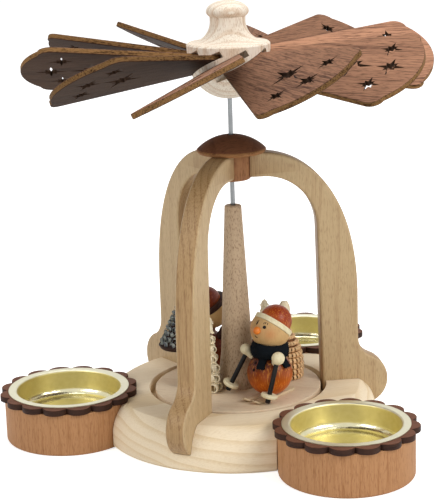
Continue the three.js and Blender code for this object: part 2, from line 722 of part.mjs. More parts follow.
// Turned hub with a knob on top, a bowl below and a sawn slot for each blade
function wheelHub() {
  const bore = around(SPINDLE_RADIUS + RUNNING_GAP, MIDDLE_FACETS);
  const neck = HUB_RIM_TOP + HUB_NECK_RISE;
  const flatAngle = THREE.MathUtils.radToDeg(Math.acos(HUB_BOWL_FLAT_RADIUS / HUB_RADIUS));
  const bowl = arc(0, HUB_BOWL_TOP, HUB_RADIUS, HUB_BOWL_DEPTH, -flatAngle, 0, 6);
  const ogee = [];
  const ogeeSteps = 5;
  for (let i = 0; i <= ogeeSteps; i++) {
    const share = i / ogeeSteps;
    const sweep = (share * Math.PI) / 2;
    const outer = HUB_RADIUS - HUB_EDGE_ROUND;
    ogee.push([
      outer - (outer - HUB_NECK_RADIUS) * Math.sin(sweep) ** HUB_OGEE_POWER,
      neck - HUB_NECK_RISE * Math.cos(sweep),
    ]);
  }
  const knobMiddle = neck + KNOB_RISE * KNOB_MIDDLE_SHARE;
  const knobStart = -THREE.MathUtils.radToDeg(Math.acos(HUB_NECK_RADIUS / KNOB_RADIUS));
  const knobUnder = arc(0, knobMiddle, KNOB_RADIUS, knobMiddle - neck, knobStart, 0, 2);
  const knobOver = arc(0, knobMiddle, KNOB_RADIUS, neck + KNOB_RISE - knobMiddle, 0, 90, 5);
  const hub = turned(
    [
      [0, SPINDLE_TOP],
      [bore, SPINDLE_TOP],
      [bore, bowl[0][1]],
      ...bowl,
      [HUB_RADIUS, HUB_RIM_TOP - HUB_EDGE_ROUND],
      ...ogee,
      ...knobUnder,
      ...knobOver.slice(1, -1),
      [0, neck + KNOB_RISE],
    ],
    MIDDLE_FACETS,
  );
  const slots = [];
  const halfSlot = BLADE_THICKNESS / 2 + SLOT_PLAY;
  for (let i = 0; i < BLADE_COUNT; i++) {
    const low = [BLADE_ROOT_RADIUS - SEAT_GAP, -SLOT_HALF_LENGTH, -halfSlot];
    const high = [HUB_RADIUS + OVERRUN, SLOT_HALF_LENGTH, halfSlot];
    slots.push(placeOnWheel(block(low, high), i));
  }
  return cut(hub, ...slots);
}

// An eight-pointed star: long points along and across the blade, short ones between
function star(centreX, centreY, along, across, short, waist) {
  const points = [];
  for (let i = 0; i < 16; i++) {
    const angle = (i * Math.PI) / 8;
    let reach = waist;
    if (i % 8 === 0) reach = along;
    else if (i % 8 === 4) reach = across;
    else if (i % 2 === 0) reach = short;
    points.push([centreX + reach * Math.cos(angle), centreY + reach * Math.sin(angle)]);
  }
  return points;
}

// Stars of a blade as shares of its tip radius: place along and across, then reach
// along, across, of the short points and of the waist
const BLADE_STAR_SHARES = [
  [0.66, 0, 0.108, 0.094, 0.05, 0.022],
  [0.854, 0, 0.07, 0.064, 0.038, 0.017],
  [0.802, 0.142, 0.052, 0.053, 0.03, 0.015],
  [0.802, -0.142, 0.052, 0.053, 0.03, 0.015],
];

// One wheel blade of thin board, pierced with stars
function blade(index) {
  const flare = radians(BLADE_FLARE);
  const lobeSide =
    BLADE_ROOT_HALF_WIDTH +
    (BLADE_SHOULDER_RADIUS - BLADE_ROOT_RADIUS) * Math.tan(flare) -
    BLADE_LOBE_ARC / Math.cos(flare);
  const arcCentre = BLADE_TIP_RADIUS - BLADE_TIP_ARC;
  // The notch is where the shoulder's lobe meets the tip's large arc
  const apart = Math.hypot(BLADE_SHOULDER_RADIUS - arcCentre, lobeSide);
  const lean = Math.atan2(lobeSide, BLADE_SHOULDER_RADIUS - arcCentre);
  const along = (apart ** 2 + BLADE_TIP_ARC ** 2 - BLADE_LOBE_ARC ** 2) / (2 * apart);
  const notchTurn = lean - Math.acos(along / BLADE_TIP_ARC);
  const notchX = arcCentre + BLADE_TIP_ARC * Math.cos(notchTurn);
  const notchY = BLADE_TIP_ARC * Math.sin(notchTurn);
  const lobeEnd = Math.atan2(notchY - lobeSide, notchX - BLADE_SHOULDER_RADIUS);
  const toDegrees = THREE.MathUtils.radToDeg;
  const lobe = arc(
    BLADE_SHOULDER_RADIUS,
    lobeSide,
    BLADE_LOBE_ARC,
    BLADE_LOBE_ARC,
    90 + BLADE_FLARE,
    toDegrees(lobeEnd),
    5,
  );
  const tip = arc(
    arcCentre,
    0,
    BLADE_TIP_ARC,
    BLADE_TIP_ARC,
    toDegrees(notchTurn),
    -toDegrees(notchTurn),
    8,
  );
  const mirrored = lobe.map(([x, y]) => [x, -y]).reverse();
  const outline = [
    [BLADE_ROOT_RADIUS, BLADE_ROOT_HALF_WIDTH],
    ...lobe,
    ...tip.slice(1, -1),
    ...mirrored,
    [BLADE_ROOT_RADIUS, -BLADE_ROOT_HALF_WIDTH],
  ].reverse();
  const stars = BLADE_STAR_SHARES.map((shares) =>
    star(...shares.map((share) => share * BLADE_TIP_RADIUS)),
  );
  const flat = board(outline, BLADE_THICKNESS, stars).translate(0, 0, -BLADE_THICKNESS / 2);
  return placeOnWheel(flat, index);
}

// Body of a figure: a ball with a short neck, grown by a margin when it serves as a cutter
const bodyCentre = SKI_THICKNESS + BALL_RADIUS - BALL_SINK;
const neckTop = bodyCentre + BALL_RADIUS + NECK_RISE;
function figureBody(margin = 0) {
  const ball = BALL_RADIUS + margin;
  const neck = NECK_RADIUS + margin;
  const foot = margin > 0 ? -90 : THREE.MathUtils.radToDeg(Math.asin(BALL_SINK / ball - 1));
  const shoulder = THREE.MathUtils.radToDeg(Math.acos(neck / ball));
  return turned(
    [
      [0, bodyCentre + ball * Math.sin(radians(foot))],
      ...arc(0, bodyCentre, ball, ball, foot, shoulder, 8),
      [neck, neckTop],
      [0, neckTop],
    ],
    SMALL_FACETS,
  );
}

// The head's own frame: its middle above the neck, tilted back and to the side
const headCentre = neckTop + HEAD_RADIUS - HEAD_SINK;
function tiltHead(geometry, pose) {
  return geometry
    .rotateY(radians(-pose.back))
    .rotateX(radians(-pose.side))
    .translate(pose.forward, pose.left, headCentre);
}

// Head below the band, flat where it stands on the neck
function figureHead(pose) {
  const top = BAND_RISE - BAND_WIDTH / 2 - GLUE_GAP;
  const end = THREE.MathUtils.radToDeg(Math.asin(top / HEAD_RADIUS));
  const ball = tiltHead(
    turned([...arc(0, 0, HEAD_RADIUS, HEAD_RADIUS, -90, end, 8), [0, top]], SMALL_FACETS),
    pose,
  );
  const under = block(
    [-2 * HEAD_RADIUS, -2 * HEAD_RADIUS, bodyCentre],
    [2 * HEAD_RADIUS, 2 * HEAD_RADIUS, neckTop],
  );
  return cut(ball, under);
}

// A ball somewhat larger than the head, as a cutter for what lies against the head
function headSpace(pose) {
  const ball = new THREE.SphereGeometry(HEAD_RADIUS + GLUE_GAP, MIDDLE_FACETS, SMALL_FACETS);
  return tiltHead(ball.rotateX(Math.PI / 2), pose);
}

// Nose, hollowed to sit on the head
function figureNose(pose) {
  const rise = HEAD_RADIUS + NOSE_RADIUS * NOSE_PROUD_SHARE;
  const lift = radians(NOSE_LIFT);
  const nose = new THREE.SphereGeometry(NOSE_RADIUS, TINY_FACETS, TINY_FACETS).translate(
    pose.forward + rise * Math.cos(lift),
    pose.left,
    headCentre + rise * Math.sin(lift),
  );
  return cut(nose, headSpace(pose));
}

// Domed crown of the hat on the band
function figureHat(pose) {
  const foot = THREE.MathUtils.radToDeg(Math.asin(HAT_RISE / HAT_RADIUS));
  const dome = arc(0, 0, HAT_RADIUS, HAT_RADIUS, -foot, 90, 6);
  const middle = BAND_RISE + BAND_WIDTH / 2 + HAT_RISE;
  const ball = turned([[0, -HAT_RISE], ...dome], SMALL_FACETS);
  return tiltHead(ball.translate(0, 0, middle), pose);
}

// Band between the head and the hat
function figureBand(pose) {
  const half = BAND_WIDTH / 2;
  const disc = turned(
    [
      [0, -half],
      [BAND_RADIUS - BAND_ROUND, -half],
      [BAND_RADIUS, -half + BAND_ROUND],
      [BAND_RADIUS, half - BAND_ROUND],
      [BAND_RADIUS - BAND_ROUND, half],
      [0, half],
    ],
    SMALL_FACETS,
  );
  return tiltHead(disc.translate(0, 0, BAND_RISE), pose);
}

// Scarf around the neck with two tails down the body, before it is fitted to body and head
function scarfShape() {
  const half = SCARF_HEIGHT / 2;
  const middle = neckTop + SCARF_RISE - half;
  const wrap = turned(
    [
      [0, middle - half],
      [SCARF_RADIUS - half / 2, middle - half],
      [SCARF_RADIUS, middle - half / 2],
      [SCARF_RADIUS, middle + half / 2],
      [SCARF_RADIUS - half / 2, middle + half],
      [0, middle + half],
    ],
    SMALL_FACETS,
  );
  const inside = BALL_RADIUS + GLUE_GAP;
  const outside = inside + SCARF_TAIL_THICKNESS;
  const tails = SCARF_TAIL_TURNS.map((turn, i) => {
    const end = SCARF_TAIL_ENDS[i];
    const sector = [
      ...arc(0, 0, inside, inside, end, SCARF_TAIL_TOP, 4),
      ...arc(0, 0, outside, outside, SCARF_TAIL_TOP, end, 4),
    ].reverse();
    return board(sector, SCARF_TAIL_WIDTH)
      .rotateX(Math.PI / 2)
      .translate(0, SCARF_TAIL_WIDTH / 2, bodyCentre)
      .rotateZ(radians(turn));
  });
  return join(wrap, ...tails);
}

function figureScarf(pose) {
  const low = BAND_RISE - BAND_WIDTH / 2 - GLUE_GAP;
  const above = drill(BAND_RADIUS + GLUE_GAP, low, 2 * HAT_RADIUS, SMALL_FACETS);
  const hatSpace = tiltHead(above, pose);
  return cut(scarfShape(), figureBody(GLUE_GAP), headSpace(pose), hatSpace);
}

// Mittens: short pegs with round ends that stand out from the body
const SIDES = { left: 1, right: -1 };
const mittenTurn = radians(MITTEN_TURN);
function mittenCentre(word) {
  const lift = radians(MITTEN_LIFTS[word]);
  const level = MITTEN_REACH * Math.cos(lift);
  return new THREE.Vector3(
    level * Math.cos(mittenTurn),
    SIDES[word] * level * Math.sin(mittenTurn),
    bodyCentre + MITTEN_REACH * Math.sin(lift),
  );
}
function mittenShape(word, margin = 0) {
  const radius = MITTEN_RADIUS + margin;
  const half = MITTEN_HALF_LENGTH + margin;
  const centre = mittenCentre(word);
  const peg = arc(0, 0, radius, half, -MITTEN_END_TURN, MITTEN_END_TURN, 4);
  return turned([[0, -half], ...peg, [0, half]], TINY_FACETS)
    .rotateY(Math.PI / 2 - radians(MITTEN_LIFTS[word]))
    .rotateZ(SIDES[word] * mittenTurn)
    .translate(centre.x, centre.y, centre.z);
}
function figureMitten(word, scarfed) {
  const scarf = scarfed ? [scarfShape()] : [];
  return cut(mittenShape(word), figureBody(GLUE_GAP), ...scarf);
}

// Where each pole's tip is, as shares of the body's radius: forward, to the side and up
const POLE_TIP_SHARES = { left: [1, 0.66, 0.07], right: [0.93, -1.66, 0.19] };

// Ski pole with its round basket
function figurePole(word) {
  const tip = new THREE.Vector3(...POLE_TIP_SHARES[word]).multiplyScalar(BALL_RADIUS);
  const top = mittenCentre(word);
  const direction = top.clone().sub(tip);
  const length = direction.length();
  direction.normalize();
  const rod = turned(
    [
      [0, 0],
      [POLE_RADIUS * POLE_TIP_SHARE, 0],
      [POLE_RADIUS, POLE_RADIUS],
      [POLE_RADIUS, length],
      [0, length],
    ],
    TINY_FACETS,
  );
  const half = BASKET_THICKNESS / 2;
  const basket = turned(
    [
      [0, BASKET_RISE - half],
      [BASKET_RADIUS - half, BASKET_RISE - half],
      [BASKET_RADIUS, BASKET_RISE],
      [BASKET_RADIUS - half, BASKET_RISE + half],
      [0, BASKET_RISE + half],
    ],
    TINY_FACETS,
  );
  const up = new THREE.Vector3(0, 0, 1);
  const lean = new THREE.Quaternion().setFromUnitVectors(up, direction);
  const pole = join(rod, basket).applyQuaternion(lean).translate(tip.x, tip.y, tip.z);
  return cut(pole, mittenShape(word, GLUE_GAP));
}

// Ski with a turned-up tip, drawn from the side
function figureSki(word) {
  const tail = -SKI_LENGTH * SKI_TAIL_SHARE;
  const bend = tail + SKI_LENGTH - SKI_TIP_LENGTH;
  const end = tail + SKI_LENGTH;
  const outline = [
    [tail, 0],
    [bend, 0],
    [bend + SKI_TIP_LENGTH / 2, SKI_TIP_RISE * SKI_BEND_SHARE],
    [end, SKI_TIP_RISE],
    [end, SKI_TIP_RISE + SKI_THICKNESS * SKI_TIP_SHARE],
    [bend + SKI_TIP_LENGTH / 2, SKI_TIP_RISE * SKI_BEND_SHARE + SKI_THICKNESS],
    [bend, SKI_THICKNESS],
    [tail, SKI_THICKNESS],
  ];
  return board(outline, SKI_WIDTH)
    .rotateX(Math.PI / 2)
    .translate(0, SKI_WIDTH / 2 + SIDES[word] * SKI_SPREAD, 0);
}

// A whole figure: how it holds its head, whether it wears a scarf, and its finishes for the hat,
// the band and mittens, the body and the face
function figure(name, azimuth, pose, scarfed, finishes) {
  const heading = azimuth + FIGURE_HEADING;
  const group = groupAt(FIGURE_DISTANCE, azimuth, PLATE_TOP, heading);
  place(group, `${name}_body`, figureBody(), finishes.body);
  place(group, `${name}_head`, figureHead(pose), finishes.face);
  place(group, `${name}_nose`, figureNose(pose), "nose");
  place(group, `${name}_headband`, figureBand(pose), finishes.band);
  place(group, `${name}_hat`, figureHat(pose), finishes.hat);
  if (scarfed) place(group, `${name}_scarf`, figureScarf(pose), "navy");
  for (const word of Object.keys(SIDES)) {
    place(group, `${name}_${word}_mitten`, figureMitten(word, scarfed), finishes.band);
    place(group, `${name}_${word}_pole`, figurePole(word), "black");
    place(group, `${name}_${word}_ski`, figureSki(word), "paleLime");
  }
}

// Outlines of the trees: share of the height, then share of the largest radius
const SLIM_OUTLINE_SHARES = [
  [0, 1],
  [0.17, 0.93],
  [0.4, 0.76],
  [0.66, 0.55],
  [0.87, 0.32],
  [1, 0.12],
];
const BROAD_OUTLINE_SHARES = [
  [0, 0.93],
  [0.12, 1],
  [0.38, 0.86],
  [0.5, 0.66],
  [0.6, 0.38],
  [0.95, 0.24],
  [1, 0.16],
];
const DARK_OUTLINE_SHARES = [
  [0, 1],
  [0.1, 0.95],
  [0.5, 0.58],
  [0.85, 0.27],
  [1, 0.1],
];

// The outline's radius share at a share of the height
function outlineAt(shares, height) {
  for (let i = 1; i < shares.length; i++) {
    const [low, from] = shares[i - 1];
    const [high, to] = shares[i];
    if (height <= high) return from + ((to - from) * (height - low)) / (high - low);
  }
  return shares[shares.length - 1][1];
}

// A tree of curled shavings: tiers whose lower rims hang out in rows of curls
const CURL_DEPTH_SHARE = 0.2; // between the curls, of the reach
const TIER_TOP_SHARE = 0.82; // where a tier ends, of its height
const TIER_NARROWING = 0.8; // how far a tier draws in towards the next
function curledTree(height, radius, shares, { tiers, around: curls, twist }, foot = 0) {
  const segments = 2 * curls;
  const rings = [];
  for (let tier = 0; tier < tiers; tier++) {
    const low = tier / tiers;
    const high = (tier + TIER_TOP_SHARE) / tiers;
    const turn = tier * twist;
    rings.push([radius * outlineAt(shares, low), low * height, turn, CURL_DEPTH_SHARE]);
    rings.push([radius * outlineAt(shares, high) * TIER_NARROWING, high * height, turn, 0]);
  }
  const places = [0, 0, foot];
  for (const [reach, level, turn, depth] of rings) {
    for (let i = 0; i < segments; i++) {
      const angle = (i * 2 * Math.PI) / segments + turn;
      const out = reach * (i % 2 === 0 ? 1 : 1 - depth);
      places.push(out * Math.cos(angle), out * Math.sin(angle), foot + level);
    }
  }
  places.push(0, 0, foot + height);
  const top = places.length / 3 - 1;
  const corners = [];
  for (let i = 0; i < segments; i++) {
    const next = (i + 1) % segments;
    corners.push(0, 1 + next, 1 + i);
    for (let ring = 0; ring + 1 < rings.length; ring++) {
      const a = 1 + ring * segments;
      const b = a + segments;
      corners.push(a + i, a + next, b + next, a + i, b + next, b + i);
    }
    const last = 1 + (rings.length - 1) * segments;
    corners.push(last + i, last + next, top);
  }
  const geometry = new THREE.BufferGeometry();
  geometry.setAttribute("position", new THREE.Float32BufferAttribute(places, 3));
  geometry.setIndex(corners);
  geometry.computeVertexNormals();
  return geometry;
}

// Dark tree on a thin trunk
function darkTree() {
  const foot = DARK_TREE_TOP - DARK_TREE_HEIGHT;
  const crown = curledTree(
    DARK_TREE_HEIGHT,
    DARK_TREE_RADIUS,
    DARK_OUTLINE_SHARES,
    DARK_CURLS,
    foot,
  );
  const trunk = drill(TRUNK_RADIUS, 0, foot + TRUNK_REACH, TINY_FACETS);
  return join(crown, trunk);
}

// Stand
place(carousel, "base_disc", baseDisc(), "maple");
place(carousel, "bearing_cup", bearingCup(), "brass");
["leg_right", "leg_back_left", "leg_front"].forEach((name, i) => {
  place(carousel, name, leg(legAzimuths[i]), "alder");
});
place(carousel, "guide_block", guideBlock(), "beech");
place(carousel, "guide_bush", guideBush(), "brass");
place(carousel, "dome_cap", domeCap(), "walnut");

// Candle holders
["front_right", "back_right", "left"].forEach((word, i) => {
  const group = groupAt(HOLDER_DISTANCE, holderAzimuths[i]);
  place(group, `holder_${word}`, holderBody(), "beech");
  place(group, `scalloped_ring_${word}`, scallopedRing(), "walnut");
  place(group, `tealight_cup_${word}`, tealightCup(), "brass");
});

// Turning stage
place(carousel, "spindle", spindle(), "steel");
place(carousel, "turning_plate", turningPlate(), "plateMaple");
place(carousel, "centre_column", centreColumn(), "pearwood");
figure("front_skier", FIGURE_AZIMUTH, FRONT_HEAD_POSE, true, {
  hat: "redStain",
  band: "cream",
  body: "orangeStain",
  face: "skin",
});
figure("rear_skier", FIGURE_AZIMUTH + 180, REAR_HEAD_POSE, false, {
  hat: "darkRedStain",
  band: "darkBrown",
  body: "darkRedStain",
  face: "skin",
});
const slimTree = (height) =>
  curledTree(height, SLIM_TREE_RADIUS, SLIM_OUTLINE_SHARES, SLIM_CURLS);
place(
  groupAt(FRONT_TREE_DISTANCE, FRONT_TREE_AZIMUTH, PLATE_TOP),
  "curled_tree_front",
  slimTree(SLIM_TREE_HEIGHT),
  "shaving",
);
place(
  groupAt(BACK_TREE_DISTANCE, BACK_TREE_AZIMUTH, PLATE_TOP),
  "curled_tree_back",
  slimTree(BACK_TREE_HEIGHT),
  "shaving",
);
place(
  groupAt(BROAD_TREE_DISTANCE, BROAD_TREE_AZIMUTH, PLATE_TOP),
  "curled_tree_broad",
  curledTree(BROAD_TREE_HEIGHT, BROAD_TREE_RADIUS, BROAD_OUTLINE_SHARES, BROAD_CURLS),
  "tanShaving",
);
place(
  groupAt(DARK_TREE_DISTANCE, DARK_TREE_AZIMUTH, PLATE_TOP),
  "dark_tree",
  darkTree(),
  "darkShaving",
);

// Wheel
place(carousel, "wheel_hub", wheelHub(), "maple");
for (let i = 0; i < BLADE_COUNT; i++) {
  place(carousel, `blade_${String(i + 1).padStart(2, "0")}`, blade(i), "walnut");
}

export default carousel;
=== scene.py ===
"""The candle carousel, dressed for its photograph: turned and sawn wood, ten pierced blades, three
metal tealight cups, two ski figures and four trees of curled shavings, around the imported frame.
Lengths are written in millimetres and turned to metres when a mesh is made."""

import math

import bmesh
import bpy
from mathutils import Matrix, Vector
from mathutils.geometry import tessellate_polygon


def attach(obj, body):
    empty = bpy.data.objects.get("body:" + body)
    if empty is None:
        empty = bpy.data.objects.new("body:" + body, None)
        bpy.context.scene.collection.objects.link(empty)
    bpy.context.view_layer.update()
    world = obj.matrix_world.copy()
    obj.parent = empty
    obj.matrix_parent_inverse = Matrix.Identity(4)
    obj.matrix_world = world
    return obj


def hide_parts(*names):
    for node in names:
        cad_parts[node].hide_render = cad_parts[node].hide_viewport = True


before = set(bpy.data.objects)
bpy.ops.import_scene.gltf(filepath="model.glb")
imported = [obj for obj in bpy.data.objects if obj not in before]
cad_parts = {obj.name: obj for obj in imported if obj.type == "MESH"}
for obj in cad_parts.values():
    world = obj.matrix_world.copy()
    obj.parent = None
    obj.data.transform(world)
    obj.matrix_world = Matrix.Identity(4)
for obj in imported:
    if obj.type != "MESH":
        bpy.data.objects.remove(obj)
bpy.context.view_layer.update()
MM = 0.001
# Edges with a greater angle between their faces, in degrees, are drawn sharp
SHARP_ANGLE = 38

# Base, plate and bearing
BASE_RADIUS = 54.2
BASE_HEIGHT = 16.6
SHOULDER_ARC = 12
SHOULDER_HEIGHT = 6
BASE_BEVEL = 1.2
RECESS_RADIUS = 34.8
RECESS_FLOOR = 11.9
BEARING_HOLE = 3.5
BEARING_FLOOR = 5.4
HOLDER_GAP = 0.3
LEG_GAP = 0.12
CUT_PAST = 2
PLATE_RADIUS = 32.6
PLATE_TOP = 16.5
PLATE_UNDERSIDE = 12.4
PLATE_BORE = 1.2

# Column and spindle
SPINDLE_RADIUS = 0.9
SPINDLE_POINT = 0.25
SPINDLE_BOTTOM = 7.7
SPINDLE_TIP = 1.6
SPINDLE_TOP = 146.8
COLUMN_HEIGHT = 72.4
COLUMN_BORE = 1.25
COLUMN_FOOT = 8.5
COLUMN_WAIST = 6.0
COLUMN_WAIST_HEIGHT = 18.1
COLUMN_TOP = 3.25
COLUMN_FLARE_POWER = 1.6

# Legs, guide block and cap
LEG_AZIMUTHS = {"leg_right": 6.6, "leg_back_left": 126.6, "leg_front": 246.6}
LEG_THICKNESS = 7.6
LEG_TOP = 109.6
LEG_INNER_END = 5
LEG_CROWN_FLAT = 8
LEG_CROWN_FULLNESS = 2.3
LEG_CROWN_DEPTH = 9.6
LEG_OUTER_RADIUS = 47.9
LEG_OUTER_CURVE_END = 49
LEG_INNER_RADIUS = 32.1
LEG_INNER_CURVE_END = 79
LEG_FOOT_INNER_RADIUS = 33.5
LEG_INNER_FLAT = 12
LEG_HEEL_RADIUS = 10.4
LEG_HEEL_DISTANCE = 49.2
LEG_FILLET = 8.5
LEG_FOOT = 5.6
LEG_EDGE = 1.0
BLOCK_RADIUS = 7.3
BLOCK_BOTTOM = 99.2
BLOCK_GAP = 0.3
CAP_RADIUS = 13.3
CAP_RIM = 1.3
CAP_RISE = 5.6
GUIDE_BORE = 1.6

# Candle holders
HOLDER_AZIMUTHS = {"front_right": -54.4, "back_right": 65.6, "left": 185.6}
HOLDER_DISTANCE = 66.6
HOLDER_RADIUS = 25.1
HOLDER_BORE = 21.2
HOLDER_FLOOR = 7.8
RING_RADIUS = 26.9
RING_THICKNESS = 2.4
SCALLOPS = 16
SCALLOP_ARC = 4.9
SCALLOP_TURN = -8
CUP_MOUTH = 20.2
CUP_WALL = 0.6
CUP_FLANGE = 23.5
CUP_FLOOR = 9.45
CUP_CORNER = 2.8
CUP_STEP_RADIUS = 12
CUP_STEP_RISE = 0.8
CUP_RIM = 19.25

# Hub and blades
HUB_RADIUS = 15.8
HUB_RIM_TOP = 151.6
HUB_RIM_HEIGHT = 4.8
HUB_BOWL_DEPTH = 16.5
HUB_BOWL_FLAT = 4
HUB_EDGE = 0.7
HUB_NECK = 6.7
HUB_NECK_RISE = 8
HUB_OGEE_POWER = 0.9
HUB_BORE = 1.0
KNOB_RADIUS = 8.05
KNOB_RISE = 7.6
KNOB_MIDDLE = 0.45
BLADE_COUNT = 10
BLADE_FIRST_AZIMUTH = -102.3
BLADE_PITCH = 26.3
BLADE_HEIGHT = 144.1
BLADE_THICKNESS = 2.1
BLADE_TIP = 77.9
BLADE_TIP_ARC = 26.7
BLADE_ROOT = 9.6
BLADE_ROOT_HALF = 7.2
BLADE_FLARE = 14.7
BLADE_SHOULDER = 66.5
BLADE_LOBE = 4.6
SLOT_HALF = 1.2
SLOT_LENGTH = 11
SLOT_DEPTH_GAP = 0.3
# Each star as shares of the blade's tip radius: place along and across, reach along, across,
# of the short points and of the waist
STARS = (
    (0.66, 0, 0.112, 0.098, 0.056, 0.034),
    (0.854, 0, 0.074, 0.068, 0.042, 0.026),
    (0.802, 0.142, 0.058, 0.056, 0.035, 0.022),
    (0.802, -0.142, 0.058, 0.056, 0.035, 0.022),
)

# Ski figures, each in a frame of its own: X forward, Y to its left, Z up from the plate
FIGURE_DISTANCE = 19.6
FIGURE_AZIMUTH = -50.8
FIGURE_HEADING = -80.2
BALL = 8.75
BALL_SINK = 0.35
BODY_CENTRE = 9.4
NECK = 4
NECK_TOP = 19.1
HEAD = 7.75
HEAD_CENTRE = 26.45
# How a head sits: degrees tipped back and to its left, then millimetres forward and to its left
HEAD_POSES = {"front_skier": (39, 11.5, -1, 0), "rear_skier": (26, 16.4, 1.5, -1.7)}
BAND_RISE = 2.15
BAND_RADIUS = 7.8
BAND_HALF = 1
HAT = 6.25
HAT_RISE = 0.8
NOSE = 1.5
NOSE_PROUD = 0.33
NOSE_LIFT = 10.5
# The face's marks, as azimuth and height angle on the head
NEAR_EYE = (21, 22.3)
FAR_EYE = ((-9.8, 26), (-8.4, 30), (-6.3, 36))
LASHES = (
    ((16.4, 30.2), (18, 33.6), (19.5, 36.2)),
    ((22.6, 31), (23.6, 35), (25.4, 38.6)),
    ((29.6, 29), (30.6, 32.4), (32.2, 36)),
    ((-6.3, 36), (-6, 38.6), (-5.6, 41)),
    ((-11.4, 32.6), (-12.6, 35.4), (-14.4, 38)),
)
SMILE = ((-10.8, -5.4), (-8.6, -8), (-5.4, -10), (-2.6, -10.6), (-0.4, -10))
CHEEKS = ((38, 2), (-34, 4))
STROKE_SIDES = 6
BUTTONS = ((-10.9, 38), (-8, 19.5))
COLLAR_MIDDLE = NECK_TOP - 0.1
COLLAR_REACH = 5.3
COLLAR_THICK = 2.3
COLLAR_HALF = 3.1
# A scarf tail's azimuth at its top and its end, and the height angles of both
SCARF_TAILS = ((14, 14, 66, 24), (78, 92, 66, 23))
# A mitten's distance from the body's middle, its turn to the side, its height angle, its radius
MITTENS = {
    "front_skier": {"left": (12.6, 58, 40, 2.5), "right": (12, 58, 45, 2.1)},
    "rear_skier": {"left": (12.6, 58, 40, 2.5), "right": (11.4, 75, 46, 2.3)},
}
POLE_RADIUS = 0.92
POLE_TIPS = {"left": (1, 0.66, 0.07), "right": (0.93, -1.66, 0.19)}
POLE_IN_MITTEN = 1.2
BASKET_RADIUS = 3.25
BASKET_HALF = 0.7
BASKET_RISE = 2.9
SKI_LENGTH = 24
SKI_WIDTH = 2.8
SKI_TAIL = 0.46
SKI_TIP_RISE = 1.5
SKI_TIP_LENGTH = 4
SKI_SPREAD = 2.4

# Trees. An outline holds shares of the height, each with a share of the largest radius
# A tree's distance from the spindle and its azimuth on the plate
TREE_PLACES = {
    "curled_tree_front": (13.8, 219),
    "curled_tree_back": (23.1, 59.9),
    "curled_tree_broad": (20.5, 20.5),
    "dark_tree": (22.7, 186),
}
TRUNK_RADIUS = 0.9
TRUNK_HEIGHT = 17.9
BOWL_DEPTH = 2.1
CURL_SWEEP = 310
SLIM_OUTLINE = ((0, 1), (0.17, 0.93), (0.4, 0.76), (0.66, 0.55), (0.87, 0.32), (1, 0.12))
BROAD_OUTLINE = (
    (0, 0.93), (0.12, 1), (0.38, 0.86), (0.5, 0.66), (0.6, 0.4), (0.82, 0.26), (0.86, 0), (1, 0),
)
DARK_OUTLINE = ((0, 1), (0.1, 0.95), (0.5, 0.58), (0.85, 0.27), (1, 0.1))
# A tip's profile holds radii, each at a share of the height
SLIM_TIP = ((0, 0.8), (1.6, 0.8), (1.5, 0.87), (0.9, 0.95), (0, 1))
BROAD_TIP = ((0, 0.79), (1.9, 0.79), (2.3, 0.87), (2.1, 0.94), (1.3, 0.99), (0, 1))
DARK_TIP = ((0, 0.86), (0.9, 0.86), (0.6, 0.94), (0, 1))
# The roll, width and thickness of one shaving
WIDE_CURL = (2.1, 2.7, 0.48)
SMALL_CURL = (1.25, 1.3, 0.2)

# Camera, as fitted to the photograph, and lamps: place in metres, size and power
CAMERA_PLACE = (0, -0.59678, 0.22318)
CAMERA_YAW = -0.6
CAMERA_PITCH = 14.29
CAMERA_ROLL = -1.79
FOCAL_PIXELS = 1590
PHOTO_PIXELS = 500
SENSOR = 36
LAMPS = {
    "key_softbox": ((1.0, -0.8, 0.9), 0.08, 0.7, 11.5),
    "fill_softbox": ((-1.0, -0.8, 0.9), 0.06, 0.8, 7.0),
    "top_softbox": ((0.1, 0.3, 1.3), 0.08, 0.9, 8.0),
}
FLOOR_HALF = 6.0
FLOOR_GLOW = 0.62
AIR_LIGHT = 0.35


# Node and colour helpers


def linear(hexcode):
    """An sRGB hex colour as linear red, green, blue and alpha."""
    parts = [int(hexcode[i : i + 2], 16) / 255 for i in (1, 3, 5)]
    return (*(p / 12.92 if p <= 0.04045 else ((p + 0.055) / 1.055) ** 2.4 for p in parts), 1)


def add(tree, kind, inputs=None, stops=(), **settings):
    """Adds a node. inputs maps a socket's name or number to a value, to an output, or to a node,
    which stands for its first output in use. stops are a colour ramp's places and hex colours."""
    made = tree.nodes.new(kind)
    for key, value in settings.items():
        setattr(made, key, value)
    for key, value in (inputs or {}).items():
        if isinstance(value, bpy.types.Node):
            value = next(output for output in value.outputs if output.enabled)
        if isinstance(value, bpy.types.NodeSocket):
            tree.links.new(value, made.inputs[key])
        else:
            made.inputs[key].default_value = value
    for i, (place, colour) in enumerate(stops):
        marks = made.color_ramp.elements
        mark = marks[i] if i < 2 else marks.new(place)
        mark.position = place
        mark.color = linear(colour)
    return made


def blank_material(name):
    """A node material with nothing in it yet, and its tree."""
    made = bpy.data.materials.new(name)
    made.use_nodes = True
    made.node_tree.nodes.clear()
    return made, made.node_tree


def surface(tree, values):
    """Ends a material's tree in a Principled shader with these values and its output."""
    shader = add(tree, "ShaderNodeBsdfPrincipled", values)
    add(tree, "ShaderNodeOutputMaterial", {0: shader})


# Materials


